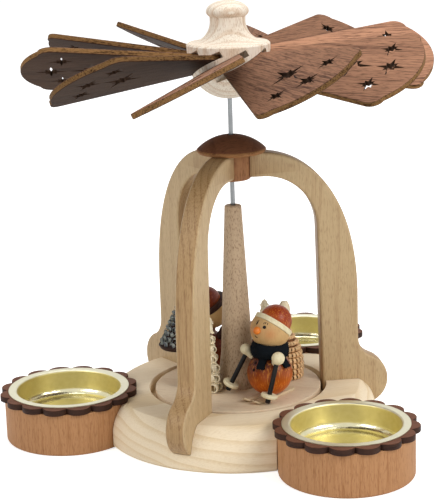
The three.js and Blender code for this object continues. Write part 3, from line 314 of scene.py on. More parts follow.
def wood(
    name, pale, late, fleck, ring=2.6, rings=0.5, streaks=0.4, flecks=0.35, rough=0.58, gloss=0.15,
    dash=0.38, edge=None, back=None,
):
    """Sanded, unvarnished wood. Its growth rings lie around the fibre axis of the piece's own grain
    frame, which is in millimetres with the fibres along Z, so a turned or sawn face shows the
    arcs, layers or straight lines that such a cut shows."""
    made, tree = blank_material(name)
    here = add(tree, "ShaderNodeAttribute", attribute_name="grain").outputs["Vector"]
    shift = add(tree, "ShaderNodeAttribute", attribute_name="shift").outputs["Vector"]
    grain = add(tree, "ShaderNodeVectorMath", {0: here, 1: shift}, operation="ADD")
    # Slow wander of the rings, about 25 mm long across the fibres and 120 mm along them
    slow = add(tree, "ShaderNodeVectorMath", {0: grain, 1: (0.04, 0.04, 0.008)}, operation="MULTIPLY")
    wander = add(tree, "ShaderNodeTexNoise", {"Vector": slow, "Scale": 1, "Detail": 2})
    drift = {0: wander.outputs["Color"], 1: (5, 5, 0), 2: grain}
    bent = add(tree, "ShaderNodeVectorMath", drift, operation="MULTIPLY_ADD")
    flat = add(tree, "ShaderNodeVectorMath", {0: bent, 1: (1, 1, 0.03)}, operation="MULTIPLY")
    reach = add(tree, "ShaderNodeVectorMath", {0: flat}, operation="LENGTH")
    count = add(tree, "ShaderNodeMath", {0: reach, 1: ring}, operation="DIVIDE")
    share = add(tree, "ShaderNodeMath", {0: count}, operation="FRACT")
    year = ((0, "#404040"), (0.12, "#000000"), (0.55, "#505050"), (0.9, "#ffffff"))
    band = add(tree, "ShaderNodeValToRGB", {0: share}, stops=year)
    ringed = add(tree, "ShaderNodeMath", {0: band, 1: rings}, operation="MULTIPLY")
    # Fibre streaks, drawn 0.5 mm wide because the real ones, under 0.2 mm, would not show
    fine = add(tree, "ShaderNodeVectorMath", {0: grain, 1: (1.9, 1.9, 0.08)}, operation="MULTIPLY")
    threads = {"Vector": fine, "Scale": 1, "Detail": 3, "Roughness": 0.6}
    fibre = add(tree, "ShaderNodeTexNoise", threads)
    swing = {"From Min": 0.3, "From Max": 0.7, "To Min": -streaks / 2, "To Max": streaks / 2}
    streaked = add(tree, "ShaderNodeMapRange", {"Value": fibre, **swing})
    # Pores and ray flecks, 0.4 mm wide and 1 / dash mm long
    dashes = add(tree, "ShaderNodeVectorMath", {0: grain, 1: (2.4, 2.4, dash)}, operation="MULTIPLY")
    spots = add(tree, "ShaderNodeTexNoise", {"Vector": dashes, "Scale": 1, "Detail": 2})
    deepest = {"Value": spots, "From Min": 0.52, "From Max": 0.68, "To Max": flecks}
    pore = add(tree, "ShaderNodeMapRange", deepest)
    both = add(tree, "ShaderNodeMath", {0: ringed, 1: streaked}, operation="ADD", use_clamp=True)
    ground = {0: both, 6: linear(pale), 7: linear(late)}
    colour = add(tree, "ShaderNodeMix", ground, data_type="RGBA")
    # Tints over the vertices a piece marks; the blades' back tint is painted shade on their undersides
    for word, tint in (("back", back), ("edge", edge)):
        if tint:
            mark = add(tree, "ShaderNodeAttribute", attribute_name=word).outputs["Fac"]
            tints = {0: both, 6: linear(tint[0]), 7: linear(tint[1])}
            tinted = add(tree, "ShaderNodeMix", tints, data_type="RGBA")
            colour = add(tree, "ShaderNodeMix", {0: mark, 6: colour, 7: tinted}, data_type="RGBA")
    colour = add(tree, "ShaderNodeMix", {0: pore, 6: colour, 7: linear(fleck)}, data_type="RGBA")
    # Each piece of a set is cut from another board, a little lighter or darker
    tone = add(tree, "ShaderNodeAttribute", attribute_name="tone").outputs["Fac"]
    lift = add(tree, "ShaderNodeMath", {0: tone, 1: 1.0}, operation="ADD")
    shade = add(tree, "ShaderNodeHueSaturation", {"Color": colour, "Value": lift})
    height = add(tree, "ShaderNodeMath", {0: fibre, 1: pore}, operation="SUBTRACT")
    bump = add(tree, "ShaderNodeBump", {"Height": height, "Strength": 0.35, "Distance": 0.12 * MM})
    values = {"Base Color": shade, "Roughness": rough, "Specular IOR Level": gloss, "Normal": bump}
    surface(tree, values)
    return made


def lacquered(name, top, low, streak):
    """Turned ball of stained wood under clear lacquer: the stain is thicker and darker where the
    piece was dipped last, fibres show through it, and the lacquer gives soft round highlights."""
    made, tree = blank_material(name)
    grain = add(tree, "ShaderNodeAttribute", attribute_name="grain").outputs["Vector"]
    dip = add(tree, "ShaderNodeAttribute", attribute_name="dip").outputs["Fac"]
    blotch = add(tree, "ShaderNodeTexNoise", {"Vector": grain, "Scale": 0.16, "Detail": 2})
    uneven = add(tree, "ShaderNodeMath", {0: blotch, 1: 0.5, 2: -0.25}, operation="MULTIPLY_ADD")
    depth = add(tree, "ShaderNodeMath", {0: dip, 1: uneven}, operation="ADD", use_clamp=True)
    stained = {0: depth, 6: linear(top), 7: linear(low)}
    stain = add(tree, "ShaderNodeMix", stained, data_type="RGBA")
    fine = add(tree, "ShaderNodeVectorMath", {0: grain, 1: (1.8, 1.8, 0.5)}, operation="MULTIPLY")
    fibre = add(tree, "ShaderNodeTexNoise", {"Vector": fine, "Scale": 1, "Detail": 3})
    threads = {"Value": fibre, "From Min": 0.5, "From Max": 0.72, "To Max": 0.6}
    line = add(tree, "ShaderNodeMapRange", threads)
    colour = add(tree, "ShaderNodeMix", {0: line, 6: stain, 7: linear(streak)}, data_type="RGBA")
    values = {"Base Color": colour, "Roughness": 0.42, "Specular IOR Level": 0.2}
    surface(tree, {**values, "Coat Weight": 0.12, "Coat Roughness": 0.2})
    return made


def painted(name, colour, shade, rough=0.5, grit=0.8, gloss=0.5, bump=0.04, metal=0.0, coat=0.0):
    """A surface of one colour with the small cloudiness, grit and bump of real paint or metal.
    grit is the size of its clouds in millimetres."""
    made, tree = blank_material(name)
    place = add(tree, "ShaderNodeTexCoord").outputs["Object"]
    clouds = {"Vector": place, "Scale": 1 / (grit * MM), "Detail": 3}
    cloud = add(tree, "ShaderNodeTexNoise", clouds)
    tints = {0: cloud, 6: linear(colour), 7: linear(shade)}
    mixed = add(tree, "ShaderNodeMix", tints, data_type="RGBA")
    spread = {"Value": cloud, "To Min": rough * 0.85, "To Max": rough * 1.15}
    uneven = add(tree, "ShaderNodeMapRange", spread)
    ripple = add(tree, "ShaderNodeBump", {"Height": cloud, "Strength": 0.3, "Distance": bump * MM})
    values = {"Base Color": mixed, "Roughness": uneven, "Metallic": metal, "Normal": ripple}
    surface(tree, {**values, "Specular IOR Level": gloss, "Coat Weight": coat})
    return made


# Maple or lime board, sanded: almost white, with faint pale brown growth layers
base_wood = wood("maple_board", "#F6E4C6", "#E2C79A", "#C7AA80", ring=3.6, rings=0.6, flecks=0.15)
# The same wood in a thinner, pinker board, freshly turned
plate_wood = wood("maple_plate", "#E6D1B4", "#D6B896", "#B89878", ring=3.4, rings=0.35, flecks=0.3)
# Alder board, sanded: tan with straight fine fibres, many short brown pores and browner edges
leg_wood = wood(
    "alder_board", "#C2A880", "#AE8F68", "#86633F", rings=0.4, streaks=0.9, rough=0.46, gloss=0.3,
    edge=("#AE8D62", "#785430"),
)
# Beech, turned: pinkish brown with short dark ray flecks along the fibres
beech_wood = wood(
    "beech_turned", "#B8885E", "#9E6C44", "#7A4A2E", ring=3.2, rings=0.3, streaks=1.1
)
block_wood = wood("beech_block", "#A0714C", "#845538", "#5E3824", ring=3, flecks=0.5)
# Pearwood, turned between centres: greyish brown, very even, with dense short flecks
column_wood = wood(
    "pearwood_turned", "#BDA487", "#A58A6C", "#6E5238", ring=3.6, rings=0.2, flecks=0.6, dash=0.9
)
# Walnut board, sawn by laser: dark, with long open pores, browned edges and darker star holes
# Its back tint darkens the underside as painted shade, and its star holes and side corners
walnut_wood = wood(
    "walnut_board", "#A87B60", "#5C4034", "#38241C", ring=5, rings=0.35, streaks=1.8, flecks=0.55,
    rough=0.65, gloss=0.05, dash=0.3, edge=("#86643E", "#3A2614"), back=("#4A382C", "#2C2019"),
)
ring_wood = wood(
    "walnut_ring", "#724935", "#573427", "#361D16", ring=5, rings=0.4, streaks=0.9, rough=0.6,
    edge=("#3A241A", "#1A0F0A"),
)
# A dome turned from walnut, its lower edge sanded down to paler wood
cap_wood = wood(
    "walnut_turned", "#7A4E35", "#5E3824", "#3A2015", ring=2.8, streaks=0.9, flecks=0.4,
    rough=0.65, edge=("#A27248", "#825836"),
)
# Maple hub, turned with its fibres upright: dashes down its sides, arcs over its slopes
hub_wood = wood(
    "maple_turned", "#F6EBDA", "#DCC2A6", "#B08A62", rings=0.7, streaks=0.6, flecks=0.5, dash=0.5
)
cream_wood = wood("lime_turned", "#EADFBC", "#DDCCA0", "#C2A878", ring=2.2, rings=0.3, flecks=0.2)
ski_wood = wood("lime_ski", "#DCC8A6", "#CDB590", "#B09468", ring=2.2, rings=0.3, flecks=0.2)
# The faces are the same lime with a blush of thin red stain on the cheeks
face_wood = wood(
    "lime_face", "#CFAA76", "#C49C66", "#AC8050", ring=3, rings=0.3, flecks=0.25,
    edge=("#CC8150", "#C07546"),
)
brown_band_wood = wood("stained_band", "#3C241C", "#2C1812", "#1D100C", rings=0.3)
# Shavings raised from a lime stick; the stick, which little light reaches, is darker as painted shade
shaving_wood = wood(
    "lime_shaving", "#F2E6C8", "#E2CCA2", "#B89C70", ring=1.4, rings=0.3, flecks=0.15
)
stick_painted_shade_wood = wood("lime_stick_painted_shade", "#A28A64", "#84704C", "#5C482E", ring=1.4, rings=0.3)
tan_shaving_wood = wood(
    "steamed_shaving", "#EDC795", "#CF9A66", "#9C683C", ring=1.4, rings=0.3, flecks=0.2
)
# The steamed tree's stick, darker than its shavings as painted shade
tan_stick_painted_shade_wood = wood("steamed_stick_painted_shade", "#8A5C36", "#6E4628", "#4A2C18", ring=1.4, rings=0.3)
dark_shaving_wood = wood(
    "dyed_shaving", "#8C9088", "#3E4252", "#242228", ring=1.4, rings=0.9, flecks=0.6
)
# The dyed tree's stick and trunk, darker than its shavings as painted shade
dark_stick_painted_shade_wood = wood("dyed_stick_painted_shade", "#33211B", "#281814", "#1A100D", ring=1.4, rings=0.3)
# Balls of stained beech, dipped in clear lacquer: their fibres show as paler threads
hat_lacquer = lacquered("red_lacquered_ball", "#8E2E10", "#C0601C", "#DC8836")
body_lacquer = lacquered("orange_lacquered_ball", "#561809", "#C65E0E", "#EE9C3C")
rear_lacquer = lacquered("dark_red_lacquered_ball", "#6E2A18", "#A0561E", "#9A5228")
# Carbon-dark dyed beech rod with a satin varnish
pole_paint = painted("black_varnished_rod", "#0E0D0D", "#181616", rough=0.45, grit=1.2, gloss=0.25)
# The face's paints: a glazed bead, enamel that stands up a little, and ink soaked into the wood
nose_paint = painted("orange_glazed_bead", "#E9862C", "#DC7420", rough=0.4, gloss=0.3, coat=0.2)
eye_paint = painted("black_enamel_dot", "#16120F", "#1E1713", rough=0.3, gloss=0.15)
mouth_paint = painted("brown_ink_line", "#38180C", "#2A1208", rough=0.6, gloss=0.1)
button_paint = painted("burnt_wood_dot", "#2E1209", "#220D06", rough=0.5, gloss=0.1)
# Felt of wool fibres: light is lost between the hairs, so it is almost black
felt = painted("navy_wool_felt", "#0F1317", "#171C21", rough=0.95, grit=0.5, gloss=0.1, bump=0.3)
# Brass-coloured lacquer on pressed aluminium: satin wall, paler rim, almost polished floor
cup_wall = painted("brass_lacquer_wall", "#D9CD92", "#CDBF7E", rough=0.5, grit=2, metal=1)
cup_rim = painted("brass_lacquer_rim", "#E0DCC4", "#D8D3B8", rough=0.4, grit=2, metal=1)
cup_floor = painted("pressed_cup_floor", "#E4DFC2", "#CFC698", rough=0.2, grit=4, bump=0.5, metal=1)
# Drawn steel rod, bright
steel = painted("drawn_steel", "#8A8D8E", "#77797B", rough=0.3, grit=1.5, metal=1)
brass = painted("turned_brass", "#C9A85A", "#B8964A", rough=0.3, grit=1, metal=1)
floor_paint = painted("studio_floor", "#F4F4F4", "#F2F2F2", rough=0.9, grit=400)


# Shapes of turned, sawn and swept pieces


def turn(degrees, axis):
    """A turn about an axis of the carousel."""
    return Matrix.Rotation(math.radians(degrees), 4, axis)


def on_ball(azimuth, lift, radius):
    """The point of a ball about the origin at an azimuth and a height angle, in degrees."""
    turned_by, rise = math.radians(azimuth), math.radians(lift)
    level = radius * math.cos(rise)
    return Vector(
        (level * math.cos(turned_by), level * math.sin(turned_by), radius * math.sin(rise))
    )


def rounded(corners, steps=4, hold=0.15):
    """A profile from [radius, height] corners, some with a third number, the radius of a fillet.
    Long straights get a point near each end, which keeps their shading flat."""
    points = []
    last = len(corners) - 1
    for i, corner in enumerate(corners):
        here = Vector(corner[:2])
        fillet = corner[2] if len(corner) > 2 and 0 < i < last else 0
        if not fillet:
            points.append(here)
            continue
        before = (Vector(corners[i - 1][:2]) - here).normalized()
        after = (Vector(corners[i + 1][:2]) - here).normalized()
        half = before.angle(after) / 2
        back = fillet / math.tan(half)
        centre = here + (before + after).normalized() * (fillet / math.sin(half))
        start, end = here + before * back - centre, here + after * back - centre
        points.append(centre + start + before * hold)
        for k in range(steps + 1):
            points.append(centre + start.lerp(end, k / steps).normalized() * fillet)
        points.append(centre + end + after * hold)
    return [(max(0.0, p.x), p.y) for p in points]


def arc(centre_x, centre_y, reach_x, reach_y, start, end, steps):
    """Points along an arc or an ellipse, both ends included; angles in degrees."""
    points = []
    for i in range(steps + 1):
        angle = math.radians(start + (end - start) * i / steps)
        points.append((centre_x + reach_x * math.cos(angle), centre_y + reach_y * math.sin(angle)))
    return points


def skin(made, rows, ring=False):
    """Joins each row of vertices to the next by a band of faces, and in a ring the last row to the
    first. A row of one vertex is a point on the axis."""
    for low, high in [*zip(rows, rows[1:]), *([(rows[-1], rows[0])] if ring else [])]:
        count = max(len(low), len(high))
        for i in range(count):
            j = (i + 1) % count
            a, b = low[i % len(low)], low[j % len(low)]
            c, d = high[j % len(high)], high[i % len(high)]
            corners = list(dict.fromkeys((a, b, c, d)))
            if len(corners) > 2:
                made.faces.new(corners)


def turned(profile, segments=96, ring=False):
    """A turned solid about Z as a bmesh. A ring's profile closes on itself; another one begins and
    ends on the axis."""
    made = bmesh.new()
    rows = []
    for radius, height in profile:
        row = []
        for i in range(segments if radius >= 1e-6 else 1):
            angle = 2 * math.pi * i / segments
            row.append(made.verts.new((radius * math.cos(angle), radius * math.sin(angle), height)))
        rows.append(row)
    skin(made, rows, ring)
    bmesh.ops.recalc_face_normals(made, faces=made.faces)
    return made


def inset(loop, distance):
    """A closed loop moved to its left by a distance, corner by corner."""
    moved = []
    for i, here in enumerate(loop):
        before = (here - loop[i - 1]).normalized()
        after = (loop[(i + 1) % len(loop)] - here).normalized()
        first, second = Vector((-before.y, before.x)), Vector((-after.y, after.x))
        spread = max(0.35, 1 + first.dot(second))
        moved.append(here + (first + second) * (distance / spread))
    return moved


def board(outline, thickness, holes=(), edge=0.3, hole_edge=0.1, steps=3, hold=0.12):
    """A flat board between z = 0 and its thickness, with rounded edges, as a bmesh. The outline
    runs anticlockwise and the holes clockwise."""
    made = bmesh.new()
    low_caps, high_caps = [], []
    for number, loop in enumerate((outline, *holes)):
        radius = hole_edge if number else edge
        layers = [(radius + hold, 0.0)]
        for k in range(steps + 1):
            angle = math.pi / 2 * k / steps
            layers.append((radius * (1 - math.sin(angle)), radius * (1 - math.cos(angle))))
        layers += [(back, thickness - height) for back, height in reversed(layers)]
        rows = []
        for back, height in layers:
            flat = inset([Vector(p[:2]) for p in loop], back)
            rows.append([made.verts.new((p.x, p.y, height)) for p in flat])
        skin(made, rows)
        low_caps.append(rows[0])
        high_caps.append(rows[-1])
    for caps in (low_caps, high_caps):
        flat = [v for row in caps for v in row]
        for triangle in tessellate_polygon([[v.co for v in row] for row in caps]):
            made.faces.new([flat[i] for i in triangle])
    bmesh.ops.recalc_face_normals(made, faces=made.faces)
    return made


def box_mesh(low, high):
    """A closed box between two corners, as a bmesh."""
    made = bmesh.new()
    size = Vector(high) - Vector(low)
    middle = Matrix.Translation((Vector(high) + Vector(low)) / 2)
    bmesh.ops.create_cube(made, size=1, matrix=middle @ Matrix.Diagonal((*size, 1)))
    return made


def swept(sections):
    """A closed solid through a row of cross-sections, each a list of corner points."""
    made = bmesh.new()
    rows = [[made.verts.new(p) for p in section] for section in sections]
    skin(made, rows)
    made.faces.new(list(reversed(rows[0])))
    made.faces.new(rows[-1])
    bmesh.ops.recalc_face_normals(made, faces=made.faces)
    return made


def joined(*parts):
    """Several bmeshes as one, without cutting them."""
    whole = bmesh.new()
    for part in parts:
        scratch = bpy.data.meshes.new("scratch")
        part.to_mesh(scratch)
        whole.from_mesh(scratch)
        bpy.data.meshes.remove(scratch)
    return whole


def to_object(name, source):
    """A bmesh as an object of its own, still in millimetres."""
    mesh = bpy.data.meshes.new(name)
    source.to_mesh(mesh)
    return placed(bpy.data.objects.new(name, mesh))


def placed(owner):
    """The object, linked to the scene."""
    bpy.context.scene.collection.objects.link(owner)
    return owner


def settled(owner):
    """The evaluated mesh of an object with its modifiers; the object is removed."""
    bpy.context.view_layer.update()
    graph = bpy.context.evaluated_depsgraph_get()
    mesh = bpy.data.meshes.new_from_object(owner.evaluated_get(graph), depsgraph=graph)
    bpy.data.objects.remove(owner)
    return mesh


def to_bmesh(mesh):
    """A mesh as a bmesh; the mesh is removed."""
    made = bmesh.new()
    made.from_mesh(mesh)
    bpy.data.meshes.remove(mesh)
    return made


def carved(source, cutter):
    """The source without the cutter's space, as a bmesh."""
    block, tool = to_object("block", source), to_object("tool", cutter)
    carve = block.modifiers.new("carve", "BOOLEAN")
    carve.operation, carve.solver, carve.object = "DIFFERENCE", "EXACT", tool
    mesh = settled(block)
    bpy.data.objects.remove(tool)
    return to_bmesh(mesh)


# Finishing a piece


def store(mesh, name, kind, values):
    """Writes one value or vector for each vertex."""
    attribute = mesh.attributes.get(name) or mesh.attributes.new(name, kind, "POINT")
    key = "vector" if kind == "FLOAT_VECTOR" else "value"
    attribute.data.foreach_set(key, [c for v in values for c in v] if key == "vector" else values)


def write_marks(mesh, fibre, pith, marks=None):
    """Writes the grain frame and further values, each worked out from a vertex. The fibre direction
    becomes Z, and pith is where the heart of the tree would be, in millimetres from the piece's
    own origin."""
    upright = Vector(fibre).normalized().rotation_difference(Vector((0, 0, 1)))
    heart = Vector(pith)
    store(mesh, "grain", "FLOAT_VECTOR", [upright @ (v.co - heart) for v in mesh.vertices])
    for word, rule in (marks or {}).items():
        store(mesh, word, "FLOAT", [rule(v) for v in mesh.vertices])


def finished(name, mesh, finishes, place=None):
    """Turns a mesh in millimetres to metres at its place, and gives it smooth faces, edges that
    stay sharp above an angle, and its materials."""
    if place is not None:
        mesh.transform(place)
    mesh.transform(Matrix.Scale(MM, 4))
    mesh.name = name
    mesh.shade_smooth()
    mesh.set_sharp_from_angle(angle=math.radians(SHARP_ANGLE))
    for finish in finishes:
        mesh.materials.append(finish)
    return placed(bpy.data.objects.new(name, mesh))


def piece(name, source, *finishes, fibre=(0, 0, 1), pith=(9, 4, 0), place=None, marks=None):
    """A bmesh as a finished piece."""
    mesh = bpy.data.meshes.new(name)
    source.to_mesh(mesh)
    write_marks(mesh, fibre, pith, marks)
    return finished(name, mesh, finishes, place)


def dress(node, finish):
    """Gives a node of the frame its material."""
    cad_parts[node].data.materials.clear()
    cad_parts[node].data.materials.append(finish)


def stands_for(made, body, slot, *nodes):
    """The piece rides on its body and takes the place of these nodes of the frame."""
    for node in nodes:
        dress(node, made.data.materials[0])
    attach(made, body)
    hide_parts(*nodes)


# Geometry Nodes


def new_tree(name, inputs):
    """An empty Geometry Nodes tree with its input's sockets and its output node. inputs holds the
    names of the inputs of each kind."""
    tree = bpy.data.node_groups.new(name, "GeometryNodeTree")
    face = tree.interface
    face.new_socket("Geometry", in_out="INPUT", socket_type="NodeSocketGeometry")
    for kind, labels in inputs.items():
        for label in labels:
            face.new_socket(label, in_out="INPUT", socket_type=f"NodeSocket{kind}")
    face.new_socket("Geometry", in_out="OUTPUT", socket_type="NodeSocketGeometry")
    return tree, add(tree, "NodeGroupInput").outputs, add(tree, "NodeGroupOutput")


def polar_place(tree, azimuth, radius, height):
    """The point at an azimuth, a radius and a height."""
    cosine = add(tree, "ShaderNodeMath", {0: azimuth}, operation="COSINE")
    sine = add(tree, "ShaderNodeMath", {0: azimuth}, operation="SINE")
    x = add(tree, "ShaderNodeMath", {0: cosine, 1: radius}, operation="MULTIPLY")
    y = add(tree, "ShaderNodeMath", {0: sine, 1: radius}, operation="MULTIPLY")
    return add(tree, "ShaderNodeCombineXYZ", {0: x, 1: y, 2: height})


def copied(tree, points, owner, rotation, **more):
    """Copies of an object's mesh on points."""
    shape = add(tree, "GeometryNodeObjectInfo", {"Object": owner}).outputs["Geometry"]
    inputs = {"Points": points, "Instance": shape, "Rotation": rotation, **more}
    return add(tree, "GeometryNodeInstanceOnPoints", inputs)


def noted(tree, copies, name, value, kind="FLOAT"):
    """The copies, each with a value of its own for the materials to read."""
    inputs = {"Geometry": copies, "Name": name, "Value": value}
    return add(
        tree, "GeometryNodeStoreNamedAttribute", inputs, data_type=kind, domain="INSTANCE"
    )


def end_tree(tree, given, geometry, output):
    """Ends a tree in Realize Instances and Set Material."""
    real = add(tree, "GeometryNodeRealizeInstances", {0: geometry})
    dressed = {"Geometry": real, "Material": given["Material"]}
    made = add(tree, "GeometryNodeSetMaterial", dressed)
    tree.links.new(made.outputs[0], output.inputs[0])
    return tree


def scattered(name, base, tree, values):
    """Runs a Geometry Nodes tree on a base object and keeps the result as a plain mesh."""
    grower = base.modifiers.new(name, "NODES")
    grower.node_group = tree
    for item in tree.interface.items_tree:
        if item.item_type == "SOCKET" and item.in_out == "INPUT" and item.name in values:
            grower[item.identifier] = values[item.name]
    mesh = settled(base)
    mesh.materials.clear()
    return mesh


def set_tree():
    """Puts a copy of one piece at each of a few azimuths around the carousel. Spin 1 turns each
    copy to its azimuth, 0 leaves them all turned alike."""
    sizes = ("Distance", "Azimuth", "Pitch", "Height", "Spin", "Tone")
    inputs = {"Object": ("Piece",), "Int": ("Count", "Seed"), "Float": sizes, "Material": ("Material",)}
    tree, given, output = new_tree("pieces_around_the_axis", inputs)
    index = add(tree, "GeometryNodeInputIndex")
    step = add(tree, "ShaderNodeMath", {0: 2 * math.pi, 1: given["Count"]}, operation="DIVIDE")
    steps = {0: index, 1: step, 2: given["Azimuth"]}
    azimuth = add(tree, "ShaderNodeMath", steps, operation="MULTIPLY_ADD")
    place = polar_place(tree, azimuth, given["Distance"], given["Height"])
    points = add(tree, "GeometryNodePoints", {"Count": given["Count"], "Position": place})
    facing = add(tree, "ShaderNodeMath", {0: azimuth, 1: given["Spin"]}, operation="MULTIPLY")
    rotation = add(tree, "ShaderNodeCombineXYZ", {0: given["Pitch"], 2: facing})
    copies = copied(tree, points, given["Piece"], rotation)
    chance = {2: -1.0, 3: 1.0, "Seed": given["Seed"]}
    tones = add(tree, "FunctionNodeRandomValue", chance, data_type="FLOAT")
    shade = add(tree, "ShaderNodeMath", {0: tones, 1: given["Tone"]}, operation="MULTIPLY")
    toned = noted(tree, copies, "tone", shade)
    chance = {0: (-6, -6, -200), 1: (6, 6, 200), "Seed": 3}
    shifts = add(tree, "FunctionNodeRandomValue", chance, data_type="FLOAT_VECTOR")
    shifted = noted(tree, toned, "shift", shifts, "FLOAT_VECTOR")
    return end_tree(tree, given, shifted, output)


around_tree = set_tree()


def repeated(name, source, finish, fibre, pith, marks=None, **values):
    """One bmesh copied around the axis by the Geometry Nodes tree, as a finished piece."""
    single = to_object(f"{name}_single", source)
    single.data.update()
    write_marks(single.data, fibre, pith, marks)
    seed = to_object(f"{name}_seed", bmesh.new())
    mesh = scattered(name, seed, around_tree, {"Piece": single, "Material": finish, **values})
    bpy.data.objects.remove(single)
    return finished(name, mesh, [finish])


# Base, plate, column and spindle


def leg_outline():
    """A leg drawn flat: radius against height, anticlockwise."""
    heel_height = LEG_FOOT + LEG_HEEL_RADIUS
    fillet_x = LEG_OUTER_RADIUS + LEG_FILLET
    across = fillet_x - LEG_HEEL_DISTANCE
    fillet_z = heel_height + math.sqrt((LEG_HEEL_RADIUS + LEG_FILLET) ** 2 - across**2)
    swing = math.degrees(math.atan2(fillet_z - heel_height, across))
    heel = arc(LEG_HEEL_DISTANCE, heel_height, LEG_HEEL_RADIUS, LEG_HEEL_RADIUS, swing, -90, 24)
    power = 2 / LEG_CROWN_FULLNESS
    wide, tall = LEG_OUTER_RADIUS - LEG_CROWN_FLAT, LEG_TOP - LEG_OUTER_CURVE_END
    crown = []
    for i in range(37):
        sweep = math.pi / 2 * (1 - i / 36)
        outward = max(0, math.cos(sweep)) ** power
        upward = max(0, math.sin(sweep)) ** power
        crown.append((LEG_CROWN_FLAT + wide * outward, LEG_OUTER_CURVE_END + tall * upward))
    under = LEG_TOP - LEG_CROWN_DEPTH
    wide, tall = LEG_INNER_RADIUS - LEG_INNER_FLAT, under - LEG_INNER_CURVE_END
    points = [
        (LEG_INNER_END, LEG_TOP),
        *crown,
        *arc(fillet_x, fillet_z, LEG_FILLET, LEG_FILLET, 180, 180 + swing, 12),
        *heel[1:],
        (LEG_FOOT_INNER_RADIUS, LEG_FOOT),
        *arc(LEG_INNER_FLAT, LEG_INNER_CURVE_END, wide, tall, 0, 90, 20),
        (LEG_INNER_END, under),
    ]
    return list(reversed(points))


def leg_board(margin=0.0):
    """A leg standing upright over +X, or with a margin the space that it needs."""
    outline = inset([Vector(p) for p in leg_outline()], -margin)
    sawn = board(outline, LEG_THICKNESS + 2 * margin, edge=LEG_EDGE, steps=4)
    sawn.transform(Matrix.Translation((0, LEG_THICKNESS / 2 + margin, 0)) @ turn(90, "X"))
    return sawn


def base_disc():
    """The base disc: turned, then cut for the three holders and the three legs."""
    end = math.degrees(math.asin((BASE_HEIGHT - SHOULDER_HEIGHT) / SHOULDER_ARC))
    shoulder = arc(BASE_RADIUS - SHOULDER_ARC, SHOULDER_HEIGHT, SHOULDER_ARC, SHOULDER_ARC, 0, end, 14)
    profile = [
        (0, 0),
        (BASE_RADIUS - BASE_BEVEL, 0, 0.3),
        (BASE_RADIUS, BASE_BEVEL, 0.8),
        *shoulder[:-1],
        (*shoulder[-1], 0.8),
        (RECESS_RADIUS, BASE_HEIGHT, 0.35),
        (RECESS_RADIUS, RECESS_FLOOR),
        (BEARING_HOLE, RECESS_FLOOR),
        (BEARING_HOLE, BEARING_FLOOR),
        (0, BEARING_FLOOR),
    ]
    pocket, low, high = HOLDER_RADIUS + HOLDER_GAP, -CUT_PAST, 20
    pockets = []
    for azimuth in HOLDER_AZIMUTHS.values():
        pockets.append(turned([(0, low), (pocket, low), (pocket, high), (0, high)], 128))
        pockets[-1].transform(Matrix.Translation(on_ball(azimuth, 0, HOLDER_DISTANCE)))
    disc = carved(turned(rounded(profile), 192), joined(*pockets))
    for azimuth in LEG_AZIMUTHS.values():
        leg = leg_board(LEG_GAP)
        leg.transform(turn(azimuth, "Z"))
        disc = carved(disc, leg)
    return disc


disc = piece("base_disc_turned", base_disc(), base_wood, fibre=(1, 0.3, 0), pith=(0, 25, -240))
stands_for(disc, "stand", "base_maple", "base_disc")

profile = [
    (PLATE_BORE, PLATE_UNDERSIDE),
    (PLATE_RADIUS, PLATE_UNDERSIDE, 0.4),
    (PLATE_RADIUS, PLATE_TOP, 0.45),
    (PLATE_BORE, PLATE_TOP),
]
plate = turned(rounded(profile), 160, ring=True)
plate = piece("turning_plate_turned", plate, plate_wood, fibre=(1, -0.35, 0), pith=(0, -10, -34))
stands_for(plate, "turning_stage", "plate_maple", "turning_plate")

profile = [(COLUMN_BORE, PLATE_TOP)]
for step in range(21):
    share = step / 20
    widening = (COLUMN_FOOT - COLUMN_WAIST) * (1 - share) ** COLUMN_FLARE_POWER
    profile.append((COLUMN_WAIST + widening, PLATE_TOP + COLUMN_WAIST_HEIGHT * share))
profile.append((COLUMN_TOP, PLATE_TOP + COLUMN_HEIGHT, 0.6))
profile.append((COLUMN_BORE, PLATE_TOP + COLUMN_HEIGHT))
column = turned(rounded(profile), 96, ring=True)
column = piece("centre_column_turned", column, column_wood, pith=(14, -6, 0))
stands_for(column, "turning_stage", "column_pearwood", "centre_column")

profile = [
    (0, SPINDLE_BOTTOM),
    (SPINDLE_POINT, SPINDLE_BOTTOM),
    (SPINDLE_RADIUS, SPINDLE_BOTTOM + SPINDLE_TIP),
    (SPINDLE_RADIUS, SPINDLE_TOP),
    (0, SPINDLE_TOP),
]
rod = piece("spindle_rod", turned(profile, 40), steel)
stands_for(rod, "turning_stage", "spindle_steel", "spindle")


# Legs, block and cap


def on_narrow_face(vertex):
    """1 where a board's vertex lies on its rounded narrow face, 0 on its flat sides."""
    return 1.0 if abs(vertex.normal.y) < 0.6 else 0.0


seat_radius, low, high = BLOCK_RADIUS + BLOCK_GAP, 80, 130
seat = turned([(0, low), (seat_radius, low), (seat_radius, high), (0, high)], 96)
for number, (node, azimuth) in enumerate(LEG_AZIMUTHS.items()):
    heart = (20 - 9 * number, 70 + 8 * number, 40 * number)
    leg = carved(leg_board(), seat.copy())
    place, marks = turn(azimuth, "Z"), {"edge": on_narrow_face}
    leg = piece(f"{node}_board", leg, leg_wood, pith=heart, place=place, marks=marks)
    stands_for(leg, "stand", "leg_alder", node)

profile = [
    (GUIDE_BORE, BLOCK_BOTTOM),
    (BLOCK_RADIUS, BLOCK_BOTTOM, 0.9),
    (BLOCK_RADIUS, LEG_TOP),
    (GUIDE_BORE, LEG_TOP),
]
block = piece("guide_block_turned", turned(rounded(profile), 96, ring=True), block_wood)
stands_for(block, "stand", "turned_beech", "guide_block")

